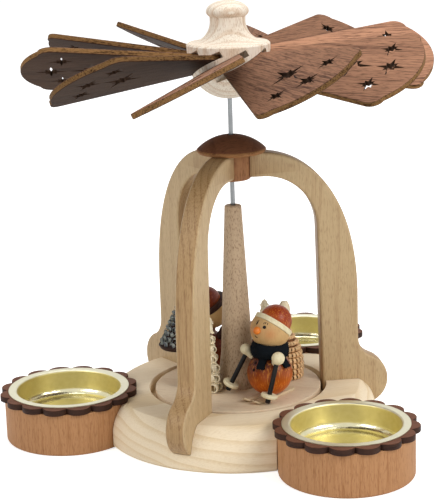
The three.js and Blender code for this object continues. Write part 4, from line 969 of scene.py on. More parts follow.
rim_top = LEG_TOP + CAP_RIM
curve = (CAP_RADIUS**2 + CAP_RISE**2) / (2 * CAP_RISE)
low, high = (math.degrees(math.acos(radius / curve)) for radius in (CAP_RADIUS, GUIDE_BORE))
dome = arc(0, rim_top + CAP_RISE - curve, curve, curve, low, high, 18)
profile = [
    (GUIDE_BORE, LEG_TOP),
    (CAP_RADIUS - 0.7, LEG_TOP, 0.3),
    (CAP_RADIUS, LEG_TOP + 0.8, 0.35),
    (*dome[0], 0.35),
    *dome[1:],
]
cap = turned(rounded(profile), 96, ring=True)
marks = {"edge": lambda v: 1.0 if v.co.z < rim_top + 0.3 else 0.0}
cap = piece("dome_cap_turned", cap, cap_wood, fibre=(1, 0.1, 0), pith=(0, 3, 96), marks=marks)
stands_for(cap, "stand", "walnut", "dome_cap")


# Candle holders


def scalloped_ring():
    """The ring on a holder: round scallops outside, a round hole inside."""
    distance = RING_RADIUS - SCALLOP_ARC
    half = math.pi / SCALLOPS
    reach = distance * math.cos(half) + math.sqrt(SCALLOP_ARC**2 - (distance * math.sin(half)) ** 2)
    swing = math.atan2(reach * math.sin(half), reach * math.cos(half) - distance)
    outline = []
    for scallop in range(SCALLOPS):
        middle = 2 * half * scallop + math.radians(SCALLOP_TURN)
        for i in range(10):
            angle = middle - swing + 2 * swing * i / 10
            x = distance * math.cos(middle) + SCALLOP_ARC * math.cos(angle)
            y = distance * math.sin(middle) + SCALLOP_ARC * math.sin(angle)
            outline.append((x, y))
    hole = list(reversed(arc(0, 0, HOLDER_BORE, HOLDER_BORE, 0, 360, 96)[:-1]))
    return board(outline, RING_THICKNESS, [hole], edge=0.25, hole_edge=0.2)


def on_sawn_side(vertex):
    """1 on the sawn sides of a flat piece, 0 on its faces."""
    return 1.0 if abs(vertex.normal.z) < 0.75 else 0.0


def pressed_cup():
    """A tealight's metal cup: its wall, its pale rim and flange, and its floor."""
    outside, ring_top = CUP_MOUTH + CUP_WALL, BASE_HEIGHT + RING_THICKNESS
    profile = [
        (0, CUP_FLOOR - CUP_WALL),
        (outside, CUP_FLOOR - CUP_WALL, 1.6),
        (outside, ring_top),
        (CUP_FLANGE, ring_top, 0.1),
        (CUP_FLANGE, CUP_RIM, 0.12),
        (CUP_MOUTH, CUP_RIM, 0.8),
        (CUP_MOUTH, CUP_FLOOR, CUP_CORNER),
        (CUP_STEP_RADIUS + 0.8, CUP_FLOOR, 0.5),
        (CUP_STEP_RADIUS - 0.5, CUP_FLOOR + CUP_STEP_RISE, 0.6),
        (0, CUP_FLOOR + CUP_STEP_RISE),
    ]
    cup = turned(rounded(profile, steps=5), 128)
    for face in cup.faces:
        middle = face.calc_center_median()
        reach = math.hypot(middle.x, middle.y)
        if middle.z > CUP_RIM - 0.4 or reach > outside - 0.1:
            face.material_index = 1
        elif middle.z < CUP_FLOOR + 2 and reach < CUP_MOUTH:
            face.material_index = 2
    return cup


profile = [
    (0, 0),
    (HOLDER_RADIUS, 0, 0.9),
    (HOLDER_RADIUS, BASE_HEIGHT, 0.25),
    (HOLDER_BORE, BASE_HEIGHT),
    (HOLDER_BORE, HOLDER_FLOOR),
    (0, HOLDER_FLOOR),
]
around = {
    "Count": 3,
    "Distance": HOLDER_DISTANCE,
    "Azimuth": math.radians(HOLDER_AZIMUTHS["front_right"]),
    "Seed": 7,
}
holder, fibre, pith = turned(rounded(profile), 128), (0, 0, 1), (40, 12, 0)
holders = repeated(
    "candle_holders_turned", holder, beech_wood, fibre, pith, Spin=1.0, Tone=0.03, **around
)
stands_for(holders, "stand", "turned_beech", *(f"holder_{word}" for word in HOLDER_AZIMUTHS))

rings = repeated(
    "scalloped_rings_sawn", scalloped_ring(), ring_wood, (1, 0.2, 0), (0, 0, -50),
    marks={"edge": on_sawn_side}, Height=BASE_HEIGHT, Spin=0.0, Tone=0.06, **around,
)
stands_for(rings, "stand", "walnut", *(f"scalloped_ring_{word}" for word in HOLDER_AZIMUTHS))

for word, azimuth in HOLDER_AZIMUTHS.items():
    node = f"tealight_cup_{word}"
    place = Matrix.Translation(on_ball(azimuth, 0, HOLDER_DISTANCE))
    cup = piece(f"{node}_pressed", pressed_cup(), cup_wall, cup_rim, cup_floor, place=place)
    stands_for(cup, node, "tealight_metal", node)


# Wheel


def wheel_hub():
    """The hub: bowl, rim, hollow neck and knob, with a sawn slot for each blade. A slot is pitched
    about its own radius, then turned."""
    neck = HUB_RIM_TOP + HUB_NECK_RISE
    flat = math.degrees(math.acos(HUB_BOWL_FLAT / HUB_RADIUS))
    bowl = arc(0, HUB_RIM_TOP - HUB_RIM_HEIGHT, HUB_RADIUS, HUB_BOWL_DEPTH, -flat, 0, 28)
    outer = HUB_RADIUS - HUB_EDGE
    ogee = []
    for i in range(25):
        sweep = i / 24 * math.pi / 2
        radius = outer - (outer - HUB_NECK) * math.sin(sweep) ** HUB_OGEE_POWER
        ogee.append((radius, neck - HUB_NECK_RISE * math.cos(sweep)))
    middle = neck + KNOB_RISE * KNOB_MIDDLE
    under = arc(0, middle, KNOB_RADIUS, middle - neck, -33, 0, 8)
    over = arc(0, middle, KNOB_RADIUS, neck + KNOB_RISE - middle, 0, 90, 20)[1:-1]
    profile = [
        (0, SPINDLE_TOP),
        (HUB_BORE, SPINDLE_TOP),
        (HUB_BORE, bowl[0][1]),
        (*bowl[0], 0.5),
        *bowl[1:],
        (HUB_RADIUS, HUB_RIM_TOP - HUB_EDGE, 0.3),
        (*ogee[0], 0.3),
        *ogee[1:-1],
        *under,
        *over,
        (0, neck + KNOB_RISE),
    ]
    slots = []
    for i in range(BLADE_COUNT):
        low = (BLADE_ROOT - SLOT_DEPTH_GAP, -SLOT_LENGTH, -SLOT_HALF)
        slot = box_mesh(low, (HUB_RADIUS + CUT_PAST + 0.2, SLOT_LENGTH, SLOT_HALF))
        azimuth = BLADE_FIRST_AZIMUTH + i * 360 / BLADE_COUNT
        lift = Matrix.Translation((0, 0, BLADE_HEIGHT))
        slot.transform(lift @ turn(azimuth, "Z") @ turn(BLADE_PITCH, "X"))
        slots.append(slot)
    return carved(turned(rounded(profile), 160), joined(*slots))


def blade_star(x, y, long, wide, short, waist):
    """A star hole, clockwise: long points along and across the blade, short ones between them."""
    points = []
    for i in range(16):
        reach = (long, waist, short, waist, wide, waist, short, waist)[i % 8]
        angle = i * math.pi / 8
        points.append((x + reach * math.cos(angle), y + reach * math.sin(angle)))
    return list(reversed(points))


def blade_board():
    """One blade lying flat along X: straight flared sides, a lobe at each shoulder, a large round
    tip and four sawn stars."""
    flare = math.radians(BLADE_FLARE)
    widest = BLADE_ROOT_HALF + (BLADE_SHOULDER - BLADE_ROOT) * math.tan(flare)
    lobe_side = widest - BLADE_LOBE / math.cos(flare)
    centre = BLADE_TIP - BLADE_TIP_ARC
    apart = math.hypot(BLADE_SHOULDER - centre, lobe_side)
    lean = math.atan2(lobe_side, BLADE_SHOULDER - centre)
    along = (apart**2 + BLADE_TIP_ARC**2 - BLADE_LOBE**2) / (2 * apart)
    notch = lean - math.acos(along / BLADE_TIP_ARC)
    notch_x, notch_y = centre + BLADE_TIP_ARC * math.cos(notch), BLADE_TIP_ARC * math.sin(notch)
    lobe_end = math.degrees(math.atan2(notch_y - lobe_side, notch_x - BLADE_SHOULDER))
    lobe = arc(BLADE_SHOULDER, lobe_side, BLADE_LOBE, BLADE_LOBE, 90 + BLADE_FLARE, lobe_end, 12)
    half = math.degrees(notch)
    points = [
        (BLADE_ROOT, BLADE_ROOT_HALF),
        *lobe,
        *arc(centre, 0, BLADE_TIP_ARC, BLADE_TIP_ARC, half, -half, 28)[1:-1],
        *((x, -y) for x, y in reversed(lobe)),
        (BLADE_ROOT, -BLADE_ROOT_HALF),
    ]
    outline = list(reversed(points))
    stars = [blade_star(*(share * BLADE_TIP for share in shares)) for shares in STARS]
    made = board(outline, BLADE_THICKNESS, stars, edge=0.35, hole_edge=0.05, hold=0.06)
    made.transform(Matrix.Translation((0, 0, -BLADE_THICKNESS / 2)))
    return made


def in_star(vertex):
    """Whether a blade's vertex lies at one of its star holes."""
    place = vertex.co.xy / BLADE_TIP
    return any((place - Vector((x, y))).length < 1.02 * reach for x, y, reach, *_ in STARS)


def on_blade_side(vertex):
    """1 on the sawn outer sides of a blade."""
    return 1.0 if abs(vertex.normal.z) < 0.3 and not in_star(vertex) else 0.0


def on_blade_underside_shade_and_holes(vertex):
    """1 where a blade is darkest: its underside, as painted shade, its side corners, its star holes."""
    level = abs(vertex.normal.z)
    corner = level < 0.75 and (level >= 0.3 or in_star(vertex))
    return 1.0 if corner or vertex.normal.z < -0.5 else 0.0


hub = piece("wheel_hub_turned", wheel_hub(), hub_wood, pith=(-6, 40, 0))
stands_for(hub, "wheel", "hub_maple", "wheel_hub")

blades = repeated(
    "wheel_blades_sawn", blade_board(), walnut_wood, (1, 0, 0), (0, 0, -46),
    marks={"edge": on_blade_side, "back": on_blade_underside_shade_and_holes},
    Count=BLADE_COUNT, Azimuth=math.radians(BLADE_FIRST_AZIMUTH), Pitch=math.radians(BLADE_PITCH),
    Height=BLADE_HEIGHT, Spin=1.0, Tone=0.34, Seed=56,
)
blade_nodes = (f"blade_{i + 1:02d}" for i in range(BLADE_COUNT))
stands_for(blades, "wheel", "blade_walnut", *blade_nodes)


# Parts of a ski figure


def ball_part(radius, start, end, steps=24, segments=48, extra=()):
    """Part of a ball between two angles from the level line, closed flat."""
    points = [(0, radius * math.sin(math.radians(start)))] if start > -90 else []
    points += [*arc(0, 0, radius, radius, start, end, steps), *extra]
    if end < 90:
        points.append((0, points[-1][1]))
    return turned([(max(0.0, r), z) for r, z in points], segments)


def dip_of(centre, radius, way, low, high):
    """How far along a way through a ball a vertex lies: 0 up to one share of it, 1 from another."""
    way = Vector(way).normalized()

    def rule(vertex):
        share = 0.5 + (vertex.co - centre).dot(way) / (2 * radius)
        return min(1.0, max(0.0, (share - low) / (high - low)))

    return rule


def dot_on(centre, radius, azimuth, lift, wide, tall, rise=0.12):
    """A small painted or set dot that follows a ball."""
    made = turned([(0, -0.2), (1, -0.2), (0.92, 0.45), (0.7, 0.8), (0.35, 0.96), (0, 1)], 20)
    made.transform(Matrix.Diagonal((tall, wide, rise, 1)))
    out = on_ball(azimuth, lift, 1)
    facing = out.to_track_quat("Z", "Y").to_matrix().to_4x4()
    made.transform(Matrix.Translation(Vector(centre) + out * radius) @ facing)
    return made


def stroke_on(centre, radius, marks, width):
    """A thin painted line over a ball, through points given as azimuth and height angle, fading
    out at both ends."""
    points = [Vector(centre) + on_ball(a, b, radius) for a, b in marks]
    fades = [0.5] + [1.0] * (len(points) - 2) + [0.4]
    sections = []
    for i, (point, fade) in enumerate(zip(points, fades)):
        ahead = points[min(i + 1, len(points) - 1)] - points[max(i - 1, 0)]
        facing, reach = ahead.to_track_quat("Z", "X"), width * fade
        section = []
        for k in range(STROKE_SIDES):
            angle = 2 * math.pi * k / STROKE_SIDES
            out = Vector((reach * math.cos(angle), reach * math.sin(angle), 0))
            section.append(point + facing @ out)
        sections.append(section)
    return swept(sections)


def ski(side):
    """A ski: rounded at both ends, bent up at its tip, with soft edges."""
    tail, corner, round_end = -SKI_LENGTH * SKI_TAIL, 0.18, 1.6
    sections = []
    for i in range(41):
        share = i / 40
        x = tail + SKI_LENGTH * share
        from_end = min(share, 1 - share) * SKI_LENGTH
        half = SKI_WIDTH / 2 * math.sqrt(1 - (1 - min(1, from_end / round_end)) ** 2 * 0.92)
        over = max(0, x - (tail + SKI_LENGTH - SKI_TIP_LENGTH)) / SKI_TIP_LENGTH
        z = SKI_TIP_RISE * over**1.8
        thick = 1.0 - 0.25 * over
        across = (
            (-half + corner, 0), (half - corner, 0), (half, corner), (half, thick - corner),
            (half - corner, thick), (-half + corner, thick), (-half, thick - corner), (-half, corner),
        )
        sections.append([Vector((x, y + side * SKI_SPREAD, z + top)) for y, top in across])
    return swept(sections)


def collar():
    """The strip of felt wound round the neck, with soft folds."""
    rings, corners = 72, 16
    made = bmesh.new()
    rows = []
    for i in range(rings):
        angle = 2 * math.pi * i / rings
        ripple = 0.2 * math.sin(3 * angle + 0.6) + 0.12 * math.sin(7 * angle)
        out = Vector((math.cos(angle), math.sin(angle), 0))
        row = []
        for k in range(corners):
            bend = 2 * math.pi * k / corners
            fold = 1 + 0.13 * math.sin(2 * bend + 2 * angle)
            reach = COLLAR_REACH + COLLAR_THICK * fold * math.cos(bend) + ripple
            rise = COLLAR_MIDDLE + COLLAR_HALF * fold * math.sin(bend) + 0.5 * ripple
            row.append(made.verts.new(out * reach + Vector((0, 0, rise))))
        rows.append(row)
    skin(made, rows, ring=True)
    bmesh.ops.recalc_face_normals(made, faces=made.faces)
    return made


def scarf_tail(start, end, high, low):
    """A short tail of the scarf down the chest, from an azimuth and a height angle to others."""
    middle = Vector((0, 0, BODY_CENTRE))
    sections = []
    for i in range(15):
        share = i / 14
        azimuth = start + (end - start) * share + 2 * math.sin(3 * share)
        out = on_ball(azimuth, high + (low - high) * share, 1)
        angle = math.radians(azimuth)
        aside = Vector((-math.sin(angle), math.cos(angle), 0))
        half = 1.35 + 0.25 * share
        across = ((-half, 0.1), (half, 0.1), (half, 0.8), (0, 1.1), (-half, 0.8))
        sections.append([middle + out * (BALL + 0.15 + z) + aside * y for y, z in across])
    return swept(sections)


def felt_tree():
    """Covers a felt piece with short crossing wool hairs."""
    inputs = {"Object": ("Hair",), "Float": ("Density",), "Material": ("Material",)}
    tree, given, output = new_tree("felt_hairs", inputs)
    spread = {0: given["Geometry"], "Density": given["Density"], "Seed": 11}
    spots = add(tree, "GeometryNodeDistributePointsOnFaces", spread)
    chance = {0: (-0.9, -0.9, -3.0), 1: (0.9, 0.9, 3.0), "Seed": 5}
    lean = add(tree, "FunctionNodeRandomValue", chance, data_type="FLOAT_VECTOR")
    leaning = {"Rotation": spots.outputs["Rotation"], "Rotate By": lean}
    bent = add(tree, "FunctionNodeRotateRotation", leaning, rotation_space="LOCAL")
    chance = {2: 0.5, 3: 1.2, "Seed": 2}
    size = add(tree, "FunctionNodeRandomValue", chance, data_type="FLOAT")
    hairs = copied(tree, spots, given["Hair"], bent, Scale=size)
    whole = add(tree, "GeometryNodeJoinGeometry")
    tree.links.new(hairs.outputs[0], whole.inputs[0])
    tree.links.new(given["Geometry"], whole.inputs[0])
    return end_tree(tree, given, whole, output)


def fuzzy(name, source, finish, place):
    """A felt bmesh with its hairs, as a finished piece."""
    owner = to_object(f"{name}_cloth", source)
    hair = bmesh.new()
    tip = hair.verts.new((0.16, 0.05, 0.75))
    foot = [hair.verts.new((0.05 * math.cos(a), 0.05 * math.sin(a), -0.05)) for a in (0, 2.1, 4.2)]
    for i in range(3):
        hair.faces.new((foot[i], foot[(i + 1) % 3], tip))
    hair.faces.new((foot[2], foot[1], foot[0]))
    single = to_object(f"{name}_hair", hair)
    values = {"Hair": single, "Density": 5.0, "Material": finish}
    mesh = scattered(name, owner, felt_tree(), values)
    bpy.data.objects.remove(single)
    write_marks(mesh, (0, 0, 1), (0, 0, 0))
    return finished(name, mesh, [finish], place)


# The ski figures


def rides(name, part, node, slot, source, finish, **more):
    """One part of a figure, on the stage in its node's place."""
    made = piece(f"{name}_{part}", source, finish, **more)
    stands_for(made, "turning_stage", slot, f"{name}_{node}")


def figure_body(name, place, look):
    """The ball of the body, standing on the skis, with its neck."""
    shoulder = math.degrees(math.acos(NECK / BALL))
    foot = math.degrees(math.asin(BALL_SINK / BALL - 1))
    body = ball_part(BALL, foot, shoulder, extra=[(NECK, NECK_TOP - BODY_CENTRE - 0.05)])
    body.transform(Matrix.Translation((0, 0, BODY_CENTRE)))
    marks = {"dip": dip_of(Vector((0, 0, BODY_CENTRE)), BALL, (0, 0.15, -1), 0.22, 0.72)}
    finish, slot = look["body"]
    rides(name, "body_ball", "body", slot, body, finish, pith=(3, 8, 0), place=place, marks=marks)


def figure_head(name, place, look):
    """The head with its headband and hat, tipped as one, and its nose. Returns the head's middle."""
    back, aside, forward, left = HEAD_POSES[name]
    middle = Vector((forward, left, HEAD_CENTRE))
    tilt = Matrix.Translation(middle) @ turn(-aside, "X") @ turn(-back, "Y")

    def blush(vertex):
        """How much stain a place on the head has: most at the middle of a cheek."""
        out = (vertex.co - middle).normalized()
        apart = min(out.angle(on_ball(*cheek, 1)) for cheek in CHEEKS)
        return 0.55 * math.exp(-((apart / 0.3) ** 2))

    top = BAND_RISE - BAND_HALF - 0.1
    head = ball_part(HEAD, -90, math.degrees(math.asin(top / HEAD)), 36, 72)
    head.transform(tilt)
    head = carved(head, box_mesh((-12, -12, BODY_CENTRE), (12, 12, NECK_TOP + 0.02)))
    cheeks = {"pith": (6, 14, 0), "place": place, "marks": {"edge": blush}}
    rides(name, "head_ball", "head", "face_wood", head, face_wood, **cheeks)

    half = BAND_HALF
    profile = [(0, -half), (BAND_RADIUS, -half, 0.3), (BAND_RADIUS, half, 0.3), (0, half)]
    band = turned(rounded(profile), 64)
    band.transform(tilt @ Matrix.Translation((0, 0, BAND_RISE)))
    finish, slot = look["band"]
    rides(name, "headband_ring", "headband", slot, band, finish, pith=(0, 20, 0), place=place)

    hat = ball_part(HAT, -math.degrees(math.asin(HAT_RISE / HAT)), 90)
    hat_place = tilt @ Matrix.Translation((0, 0, BAND_RISE + half + HAT_RISE))
    hat.transform(hat_place)
    marks = {"dip": dip_of(hat_place.to_translation(), HAT, (0.9, -0.2, -1), 0.3, 0.9)}
    finish, slot = look["hat"]
    rides(name, "hat_ball", "hat", slot, hat, finish, fibre=(0.4, 0.2, 1), place=place, marks=marks)

    nose = ball_part(NOSE, -90, 90, 16, 28)
    out = on_ball(0, NOSE_LIFT, HEAD + NOSE * NOSE_PROUD)
    nose.transform(Matrix.Translation(middle + out))
    rides(name, "nose_bead", "nose", "nose_orange", nose, nose_paint, place=place)
    return middle


def figure_marks(name, place, middle):
    """The painted eyes and mouth, and the buttons burnt into the chest."""
    eye = dot_on(middle, HEAD, *NEAR_EYE, 0.66, 0.72)
    far_eye = stroke_on(middle, HEAD, FAR_EYE, 0.36)
    lashes = [stroke_on(middle, HEAD + 0.03, marks, 0.15) for marks in LASHES]
    smile = stroke_on(middle, HEAD + 0.02, SMILE, 0.19)
    chest = (0, 0, BODY_CENTRE)
    buttons = [dot_on(chest, BALL, *mark, 0.62, 0.62, rise=0.25) for mark in BUTTONS]
    drawn = (
        ("eyes", joined(eye, far_eye, *lashes), eye_paint),
        ("mouth", smile, mouth_paint),
        ("buttons", joined(*buttons), button_paint),
    )
    for part, source, finish in drawn:
        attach(piece(f"{name}_{part}", source, finish, place=place), "turning_stage")


def figure_side(name, place, look, word, side):
    """The mitten, pole, basket and ski of one side."""
    reach, aside, lift, radius = MITTENS[name][word]
    centre = Vector((0, 0, BODY_CENTRE)) + on_ball(side * aside, lift, reach)
    thumb = [(0, -3.5), (0.44 * radius, -3.45), (0.64 * radius, -3.1), (0.7 * radius, -2.2)]
    thumb.append((0.77 * radius, 0.96 - 0.82 * radius))
    palm = [math.radians(angle) for angle in range(-36, 90, 9)]
    palm = [(radius * math.cos(a), 1.0 + radius * math.sin(a)) for a in palm]
    peg = turned([*thumb, *palm, (0, 1.0 + radius)], 32)
    peg.transform(Matrix.Translation(centre) @ turn(side * aside, "Z") @ turn(90 - lift, "Y"))
    finish, slot = look["band"]
    mitten = {"pith": (4, 5, 0), "place": place}
    rides(name, f"{word}_mitten_peg", f"{word}_mitten", slot, peg, finish, **mitten)

    tip = Vector(POLE_TIPS[word]) * BALL
    run = centre - tip
    upright = Matrix.Translation(tip) @ run.normalized().to_track_quat("Z", "Y").to_matrix().to_4x4()
    length, wide = run.length - POLE_IN_MITTEN, POLE_RADIUS * 1.1
    profile = [
        (0, 0),
        (wide, 0, 0.25),
        (wide, 1.4, 0.3),
        (POLE_RADIUS, 1.7, 0.3),
        (POLE_RADIUS, length),
        (0, length),
    ]
    rod = turned(rounded(profile), 28)
    rod.transform(upright)
    rides(name, f"{word}_pole_rod", f"{word}_pole", "black_pole", rod, pole_paint, place=place)

    bore, low, high = POLE_RADIUS + 0.02, BASKET_RISE - BASKET_HALF, BASKET_RISE + BASKET_HALF
    profile = [(bore, low), (BASKET_RADIUS, low, 0.5), (BASKET_RADIUS, high, 0.5), (bore, high)]
    disc = turned(rounded(profile), 40, ring=True)
    disc.transform(upright)
    basket = piece(f"{name}_{word}_basket_disc", disc, cream_wood, pith=(5, 2, 0), place=place)
    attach(basket, "turning_stage")

    along = {"fibre": (1, 0, 0), "pith": (0, 8 * side, -5), "place": place}
    rides(name, f"{word}_ski_board", f"{word}_ski", "ski_lime", ski(side), ski_wood, **along)


def figure(name, azimuth, look):
    """A whole ski figure. look holds the material and slot of its body, hat and band, and says
    whether it wears a scarf."""
    stand = on_ball(azimuth, 0, FIGURE_DISTANCE) + Vector((0, 0, PLATE_TOP))
    place = Matrix.Translation(stand) @ turn(azimuth + FIGURE_HEADING, "Z")
    figure_body(name, place, look)
    middle = figure_head(name, place, look)
    figure_marks(name, place, middle)
    if look["scarf"]:
        source = joined(collar(), *(scarf_tail(*tail) for tail in SCARF_TAILS))
        scarf = fuzzy(f"{name}_scarf_felt", source, felt, place)
        stands_for(scarf, "turning_stage", "navy_felt", f"{name}_scarf")
    figure_side(name, place, look, "left", 1)
    figure_side(name, place, look, "right", -1)


front_look = {
    "body": (body_lacquer, "orange_stain"),
    "hat": (hat_lacquer, "red_stain"),
    "band": (cream_wood, "cream_band"),
    "scarf": True,
}
rear_look = {
    "body": (rear_lacquer, "dark_red_stain"),
    "hat": (rear_lacquer, "dark_red_stain"),
    "band": (brown_band_wood, "brown_band"),
    "scarf": False,
}
figure("front_skier", FIGURE_AZIMUTH, front_look)
figure("rear_skier", FIGURE_AZIMUTH + 180, rear_look)


# Trees of curled shavings


def curls_tree(outline):
    """Rows of curls around a stick: each tier is a ring of copies of one curl, set out by the
    tree's outline, a little smaller towards the top, and turned against the tier below."""
    sizes = ("Height", "Radius", "Reach", "Least", "Twist", "Slant", "Play")
    inputs = {"Object": ("Curl",), "Int": ("Tiers", "Curls"), "Float": sizes, "Material": ("Material",)}
    tree, given, output = new_tree("rows_of_curls", inputs)
    index, tiers, curls = add(tree, "GeometryNodeInputIndex"), given["Tiers"], given["Curls"]
    rank = add(tree, "ShaderNodeMath", {0: index, 1: curls}, operation="DIVIDE")
    tier = add(tree, "ShaderNodeMath", {0: rank}, operation="FLOOR")
    middle = add(tree, "ShaderNodeMath", {0: tier, 1: 0.5}, operation="ADD")
    share = add(tree, "ShaderNodeMath", {0: middle, 1: tiers}, operation="DIVIDE")
    shape = add(tree, "ShaderNodeFloatCurve", {1: share})
    marks = shape.mapping.curves[0].points
    for i, mark in enumerate(outline):
        spot = marks[i] if i < 2 else marks.new(*mark)
        spot.location = mark
    shape.mapping.update()
    sized = {"Value": shape, "To Min": given["Least"], "To Max": 1.0}
    size = add(tree, "ShaderNodeMapRange", sized)
    edge = add(tree, "ShaderNodeMath", {0: shape, 1: given["Radius"]}, operation="MULTIPLY")
    roll = add(tree, "ShaderNodeMath", {0: size, 1: given["Reach"]}, operation="MULTIPLY")
    radius = add(tree, "ShaderNodeMath", {0: edge, 1: roll}, operation="SUBTRACT")
    height = add(tree, "ShaderNodeMath", {0: share, 1: given["Height"]}, operation="MULTIPLY")
    step = add(tree, "ShaderNodeMath", {0: 2 * math.pi, 1: curls}, operation="DIVIDE")
    twisted = add(tree, "ShaderNodeMath", {0: tier, 1: given["Twist"]}, operation="MULTIPLY")
    steps = {0: index, 1: step, 2: twisted}
    azimuth = add(tree, "ShaderNodeMath", steps, operation="MULTIPLY_ADD")
    place = polar_place(tree, azimuth, radius, height)
    count = add(tree, "ShaderNodeMath", {0: tiers, 1: curls}, operation="MULTIPLY")
    points = add(tree, "GeometryNodePoints", {"Count": count, "Position": place})
    chance = {0: (-1, -1, -1), 1: (1, 1, 1), "Seed": 21}
    play = add(tree, "FunctionNodeRandomValue", chance, data_type="FLOAT_VECTOR")
    some = add(tree, "ShaderNodeVectorMath", {0: play, 3: given["Play"]}, operation="SCALE")
    slanted = add(tree, "ShaderNodeMath", {0: azimuth, 1: given["Slant"]}, operation="ADD")
    facing = add(tree, "ShaderNodeCombineXYZ", {2: slanted})
    rotation = add(tree, "ShaderNodeVectorMath", {0: facing, 1: some}, operation="ADD")
    copies = copied(tree, points, given["Curl"], rotation, Scale=size)
    chance = {2: -0.12, 3: 0.08, "Seed": 4}
    tones = add(tree, "FunctionNodeRandomValue", chance, data_type="FLOAT")
    return end_tree(tree, given, noted(tree, copies, "tone", tones), output)


def curl(roll, width, thickness):
    """One shaving around the middle of its roll: it leaves the stick below, rises, and rolls
    outward and down into itself."""
    points = [(-1.9 * roll, -1.1 * roll), (-1.35 * roll, -0.75 * roll), (-1.06 * roll, -0.3 * roll)]
    turns = 18
    for i in range(turns + 1):
        share = i / turns
        angle = math.radians(180 - CURL_SWEEP * share)
        shrink = roll * (1 - 0.38 * share)
        points.append((shrink * math.cos(angle), shrink * math.sin(angle)))
    sections = []
    for i, (x, z) in enumerate(points):
        before, after = points[max(i - 1, 0)], points[min(i + 1, len(points) - 1)]
        along = Vector((after[0] - before[0], after[1] - before[1])).normalized()
        out = Vector((-along.y, along.x)) * thickness / 2
        half = width / 2 * (0.8 if i < 2 else 1)
        across = ((-1, -half), (-1, half), (1, half * 0.9), (1, -half * 0.9))
        sections.append([Vector((x + way * out.x, y, z + way * out.y)) for way, y in across])
    return swept(sections)


def stick(outline, height, radius, roll, foot):
    """The stick that the curls are raised from, and under it its trunk and bowl if it has any."""
    profile = [(0, 0)]
    if foot:
        profile = [(0, -foot), (TRUNK_RADIUS, -foot, 0.2), (TRUNK_RADIUS, -BOWL_DEPTH - 0.1, 0.1)]
        profile += [(radius * 0.5, -BOWL_DEPTH, 1.2), (radius * 0.9, -1.3, 1), (radius * 1.03, 0.3, 0.3)]
    for share, reach in outline:
        inner = radius * reach - roll * 1.5 * (1 if share else 0.6)
        profile.append((max(0.3, inner), height * (0.02 + 0.95 * share)))
    profile.append((0, height * 0.985))
    return turned(rounded(profile, hold=0.05), 32)


def shaved_tree(node, slot, woods, outline, tip, shape, numbers, foot=0):
    """A tree of curled shavings at its place on the plate. woods are the materials of its curls,
    its stick and its bare tip, shape is one curl's sizes, and foot is the trunk's height."""
    name, roll = f"{node}_shavings", shape[0]
    curl_wood, core_painted_shade_wood, tip_wood = woods
    single = to_object(f"{name}_curl", curl(*shape))
    seed = to_object(f"{name}_seed", bmesh.new())
    values = {"Curl": single, "Material": curl_wood, "Reach": roll, **numbers}
    rows = to_bmesh(scattered(name, seed, curls_tree(outline), values))
    bpy.data.objects.remove(single)
    distance, azimuth = TREE_PLACES[node]
    place = Matrix.Translation(on_ball(azimuth, 0, distance) + Vector((0, 0, PLATE_TOP + foot)))
    height = numbers["Height"]
    bud = turned([(reach, height * share) for reach, share in tip], 20)
    stem = stick(outline, height, numbers["Radius"], roll, foot)
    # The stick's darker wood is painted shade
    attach(piece(f"{name}_stick", stem, core_painted_shade_wood, place=place), "turning_stage")
    bare = piece(f"{name}_tip", bud, tip_wood, pith=(0.4, 0.3, 0), place=place)
    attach(bare, "turning_stage")
    grown = piece(name, rows, curl_wood, pith=(0.4, 0.3, 0), place=place)
    stands_for(grown, "turning_stage", slot, node)


cream = (shaving_wood, stick_painted_shade_wood, shaving_wood)
tan = (tan_shaving_wood, tan_stick_painted_shade_wood, shaving_wood)
dark = (dark_shaving_wood, dark_stick_painted_shade_wood, dark_shaving_wood)
slim = {
    "Tiers": 8, "Curls": 6, "Height": 31.0, "Radius": 4.7,
    "Least": 0.35, "Twist": 0.42, "Slant": 0.75, "Play": 0.12,
}
shorter = {**slim, "Height": 28.9, "Twist": 0.3}
broad = {
    "Tiers": 14, "Curls": 24, "Height": 31.4, "Radius": 7.7,
    "Least": 0.2, "Twist": 0.0, "Slant": 0.0, "Play": 0.08,
}
small = {
    "Tiers": 8, "Curls": 13, "Height": 15.8, "Radius": 8.0,
    "Least": 0.3, "Twist": 0.17, "Slant": 1.0, "Play": 0.5,
}
slim_shape = (SLIM_OUTLINE, SLIM_TIP, WIDE_CURL)
broad_shape = (BROAD_OUTLINE, BROAD_TIP, SMALL_CURL)
dark_shape = (DARK_OUTLINE, DARK_TIP, SMALL_CURL)
shaved_tree("curled_tree_front", "cream_shavings", cream, *slim_shape, slim)
shaved_tree("curled_tree_back", "cream_shavings", cream, *slim_shape, shorter)
shaved_tree("curled_tree_broad", "tan_shavings", tan, *broad_shape, broad)
shaved_tree("dark_tree", "dark_shavings", dark, *dark_shape, small, foot=TRUNK_HEIGHT)

# The two bearings are the frame's own solids
dress("bearing_cup", brass)
dress("guide_bush", brass)


# Floor, air, lamps and camera


def seen_directly(tree):
    """1 for the rays of the camera, of gloss and through glass, else 0."""
    rays = add(tree, "ShaderNodeLightPath").outputs
    either = {0: rays["Is Camera Ray"], 1: rays["Is Glossy Ray"]}
    seen = add(tree, "ShaderNodeMath", either, operation="MAXIMUM")
    either = {0: seen, 1: rays["Is Transmission Ray"]}
    return add(tree, "ShaderNodeMath", either, operation="MAXIMUM")


floor_mesh = bpy.data.meshes.new("studio_floor")
far = FLOOR_HALF
corners = [(-far, -far, 0), (far, -far, 0), (far, far, 0), (-far, far, 0)]
floor_mesh.from_pydata(corners, [], [(0, 1, 2, 3)])
floor_mesh.materials.append(floor_paint)
placed(bpy.data.objects.new("studio_floor", floor_mesh))

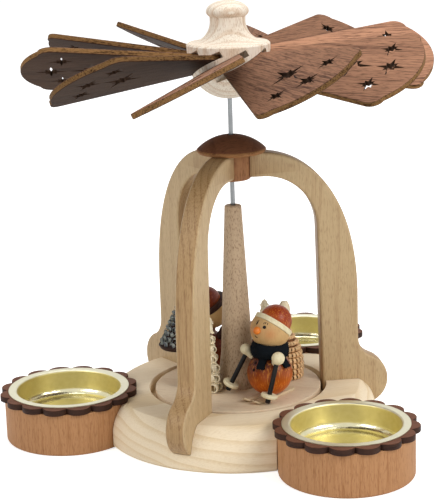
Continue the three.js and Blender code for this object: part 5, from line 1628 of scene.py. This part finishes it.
# Plain white is added to the floor, only where it is seen, so that it ends without an edge
paint = floor_paint.node_tree
glow = add(paint, "ShaderNodeMath", {0: seen_directly(paint), 1: FLOOR_GLOW}, operation="MULTIPLY")
white = add(paint, "ShaderNodeEmission", {"Strength": glow})
lit = add(paint, "ShaderNodeAddShader", {0: paint.nodes["Principled BSDF"], 1: white})
paint.links.new(lit.outputs[0], paint.nodes["Material Output"].inputs[0])

world = bpy.data.worlds.new("studio_air")
bpy.context.scene.world = world
world.use_nodes = True
air = world.node_tree
air.nodes.clear()
light = {"Value": seen_directly(air), "To Min": AIR_LIGHT, "To Max": 1.0}
strength = add(air, "ShaderNodeMapRange", light)
sky = add(air, "ShaderNodeBackground", {"Color": (1, 1, 1, 1), "Strength": strength})
add(air, "ShaderNodeOutputWorld", {0: sky})

# Square soft lights, each turned to a height on the spindle's axis
for name, (place, height, size, power) in LAMPS.items():
    data = bpy.data.lights.new(name, "AREA")
    data.shape, data.size, data.energy = "SQUARE", size, power
    lamp = placed(bpy.data.objects.new(name, data))
    lamp.location = place
    lamp.rotation_euler = (Vector((0, 0, height)) - Vector(place)).to_track_quat("-Z", "Y").to_euler()

yaw, pitch, roll = (math.radians(angle) for angle in (CAMERA_YAW, CAMERA_PITCH, CAMERA_ROLL))
forward = Vector(
    (math.sin(yaw) * math.cos(pitch), math.cos(yaw) * math.cos(pitch), -math.sin(pitch))
)
level = Vector((math.cos(yaw), -math.sin(yaw), 0))
upward = level.cross(forward)
across = math.cos(roll) * level + math.sin(roll) * upward
up = -math.sin(roll) * level + math.cos(roll) * upward
camera_data = bpy.data.cameras.new("photo_camera")
camera_data.sensor_width = SENSOR
camera_data.lens = SENSOR * FOCAL_PIXELS / PHOTO_PIXELS
camera_data.clip_start = 0.01
camera = placed(bpy.data.objects.new("photo_camera", camera_data))
rows = zip(across, up, -forward, CAMERA_PLACE)
camera.matrix_world = Matrix((*rows, (0, 0, 0, 1)))
bpy.context.scene.camera = camera
bpy.context.scene.view_settings.view_transform = "Standard"
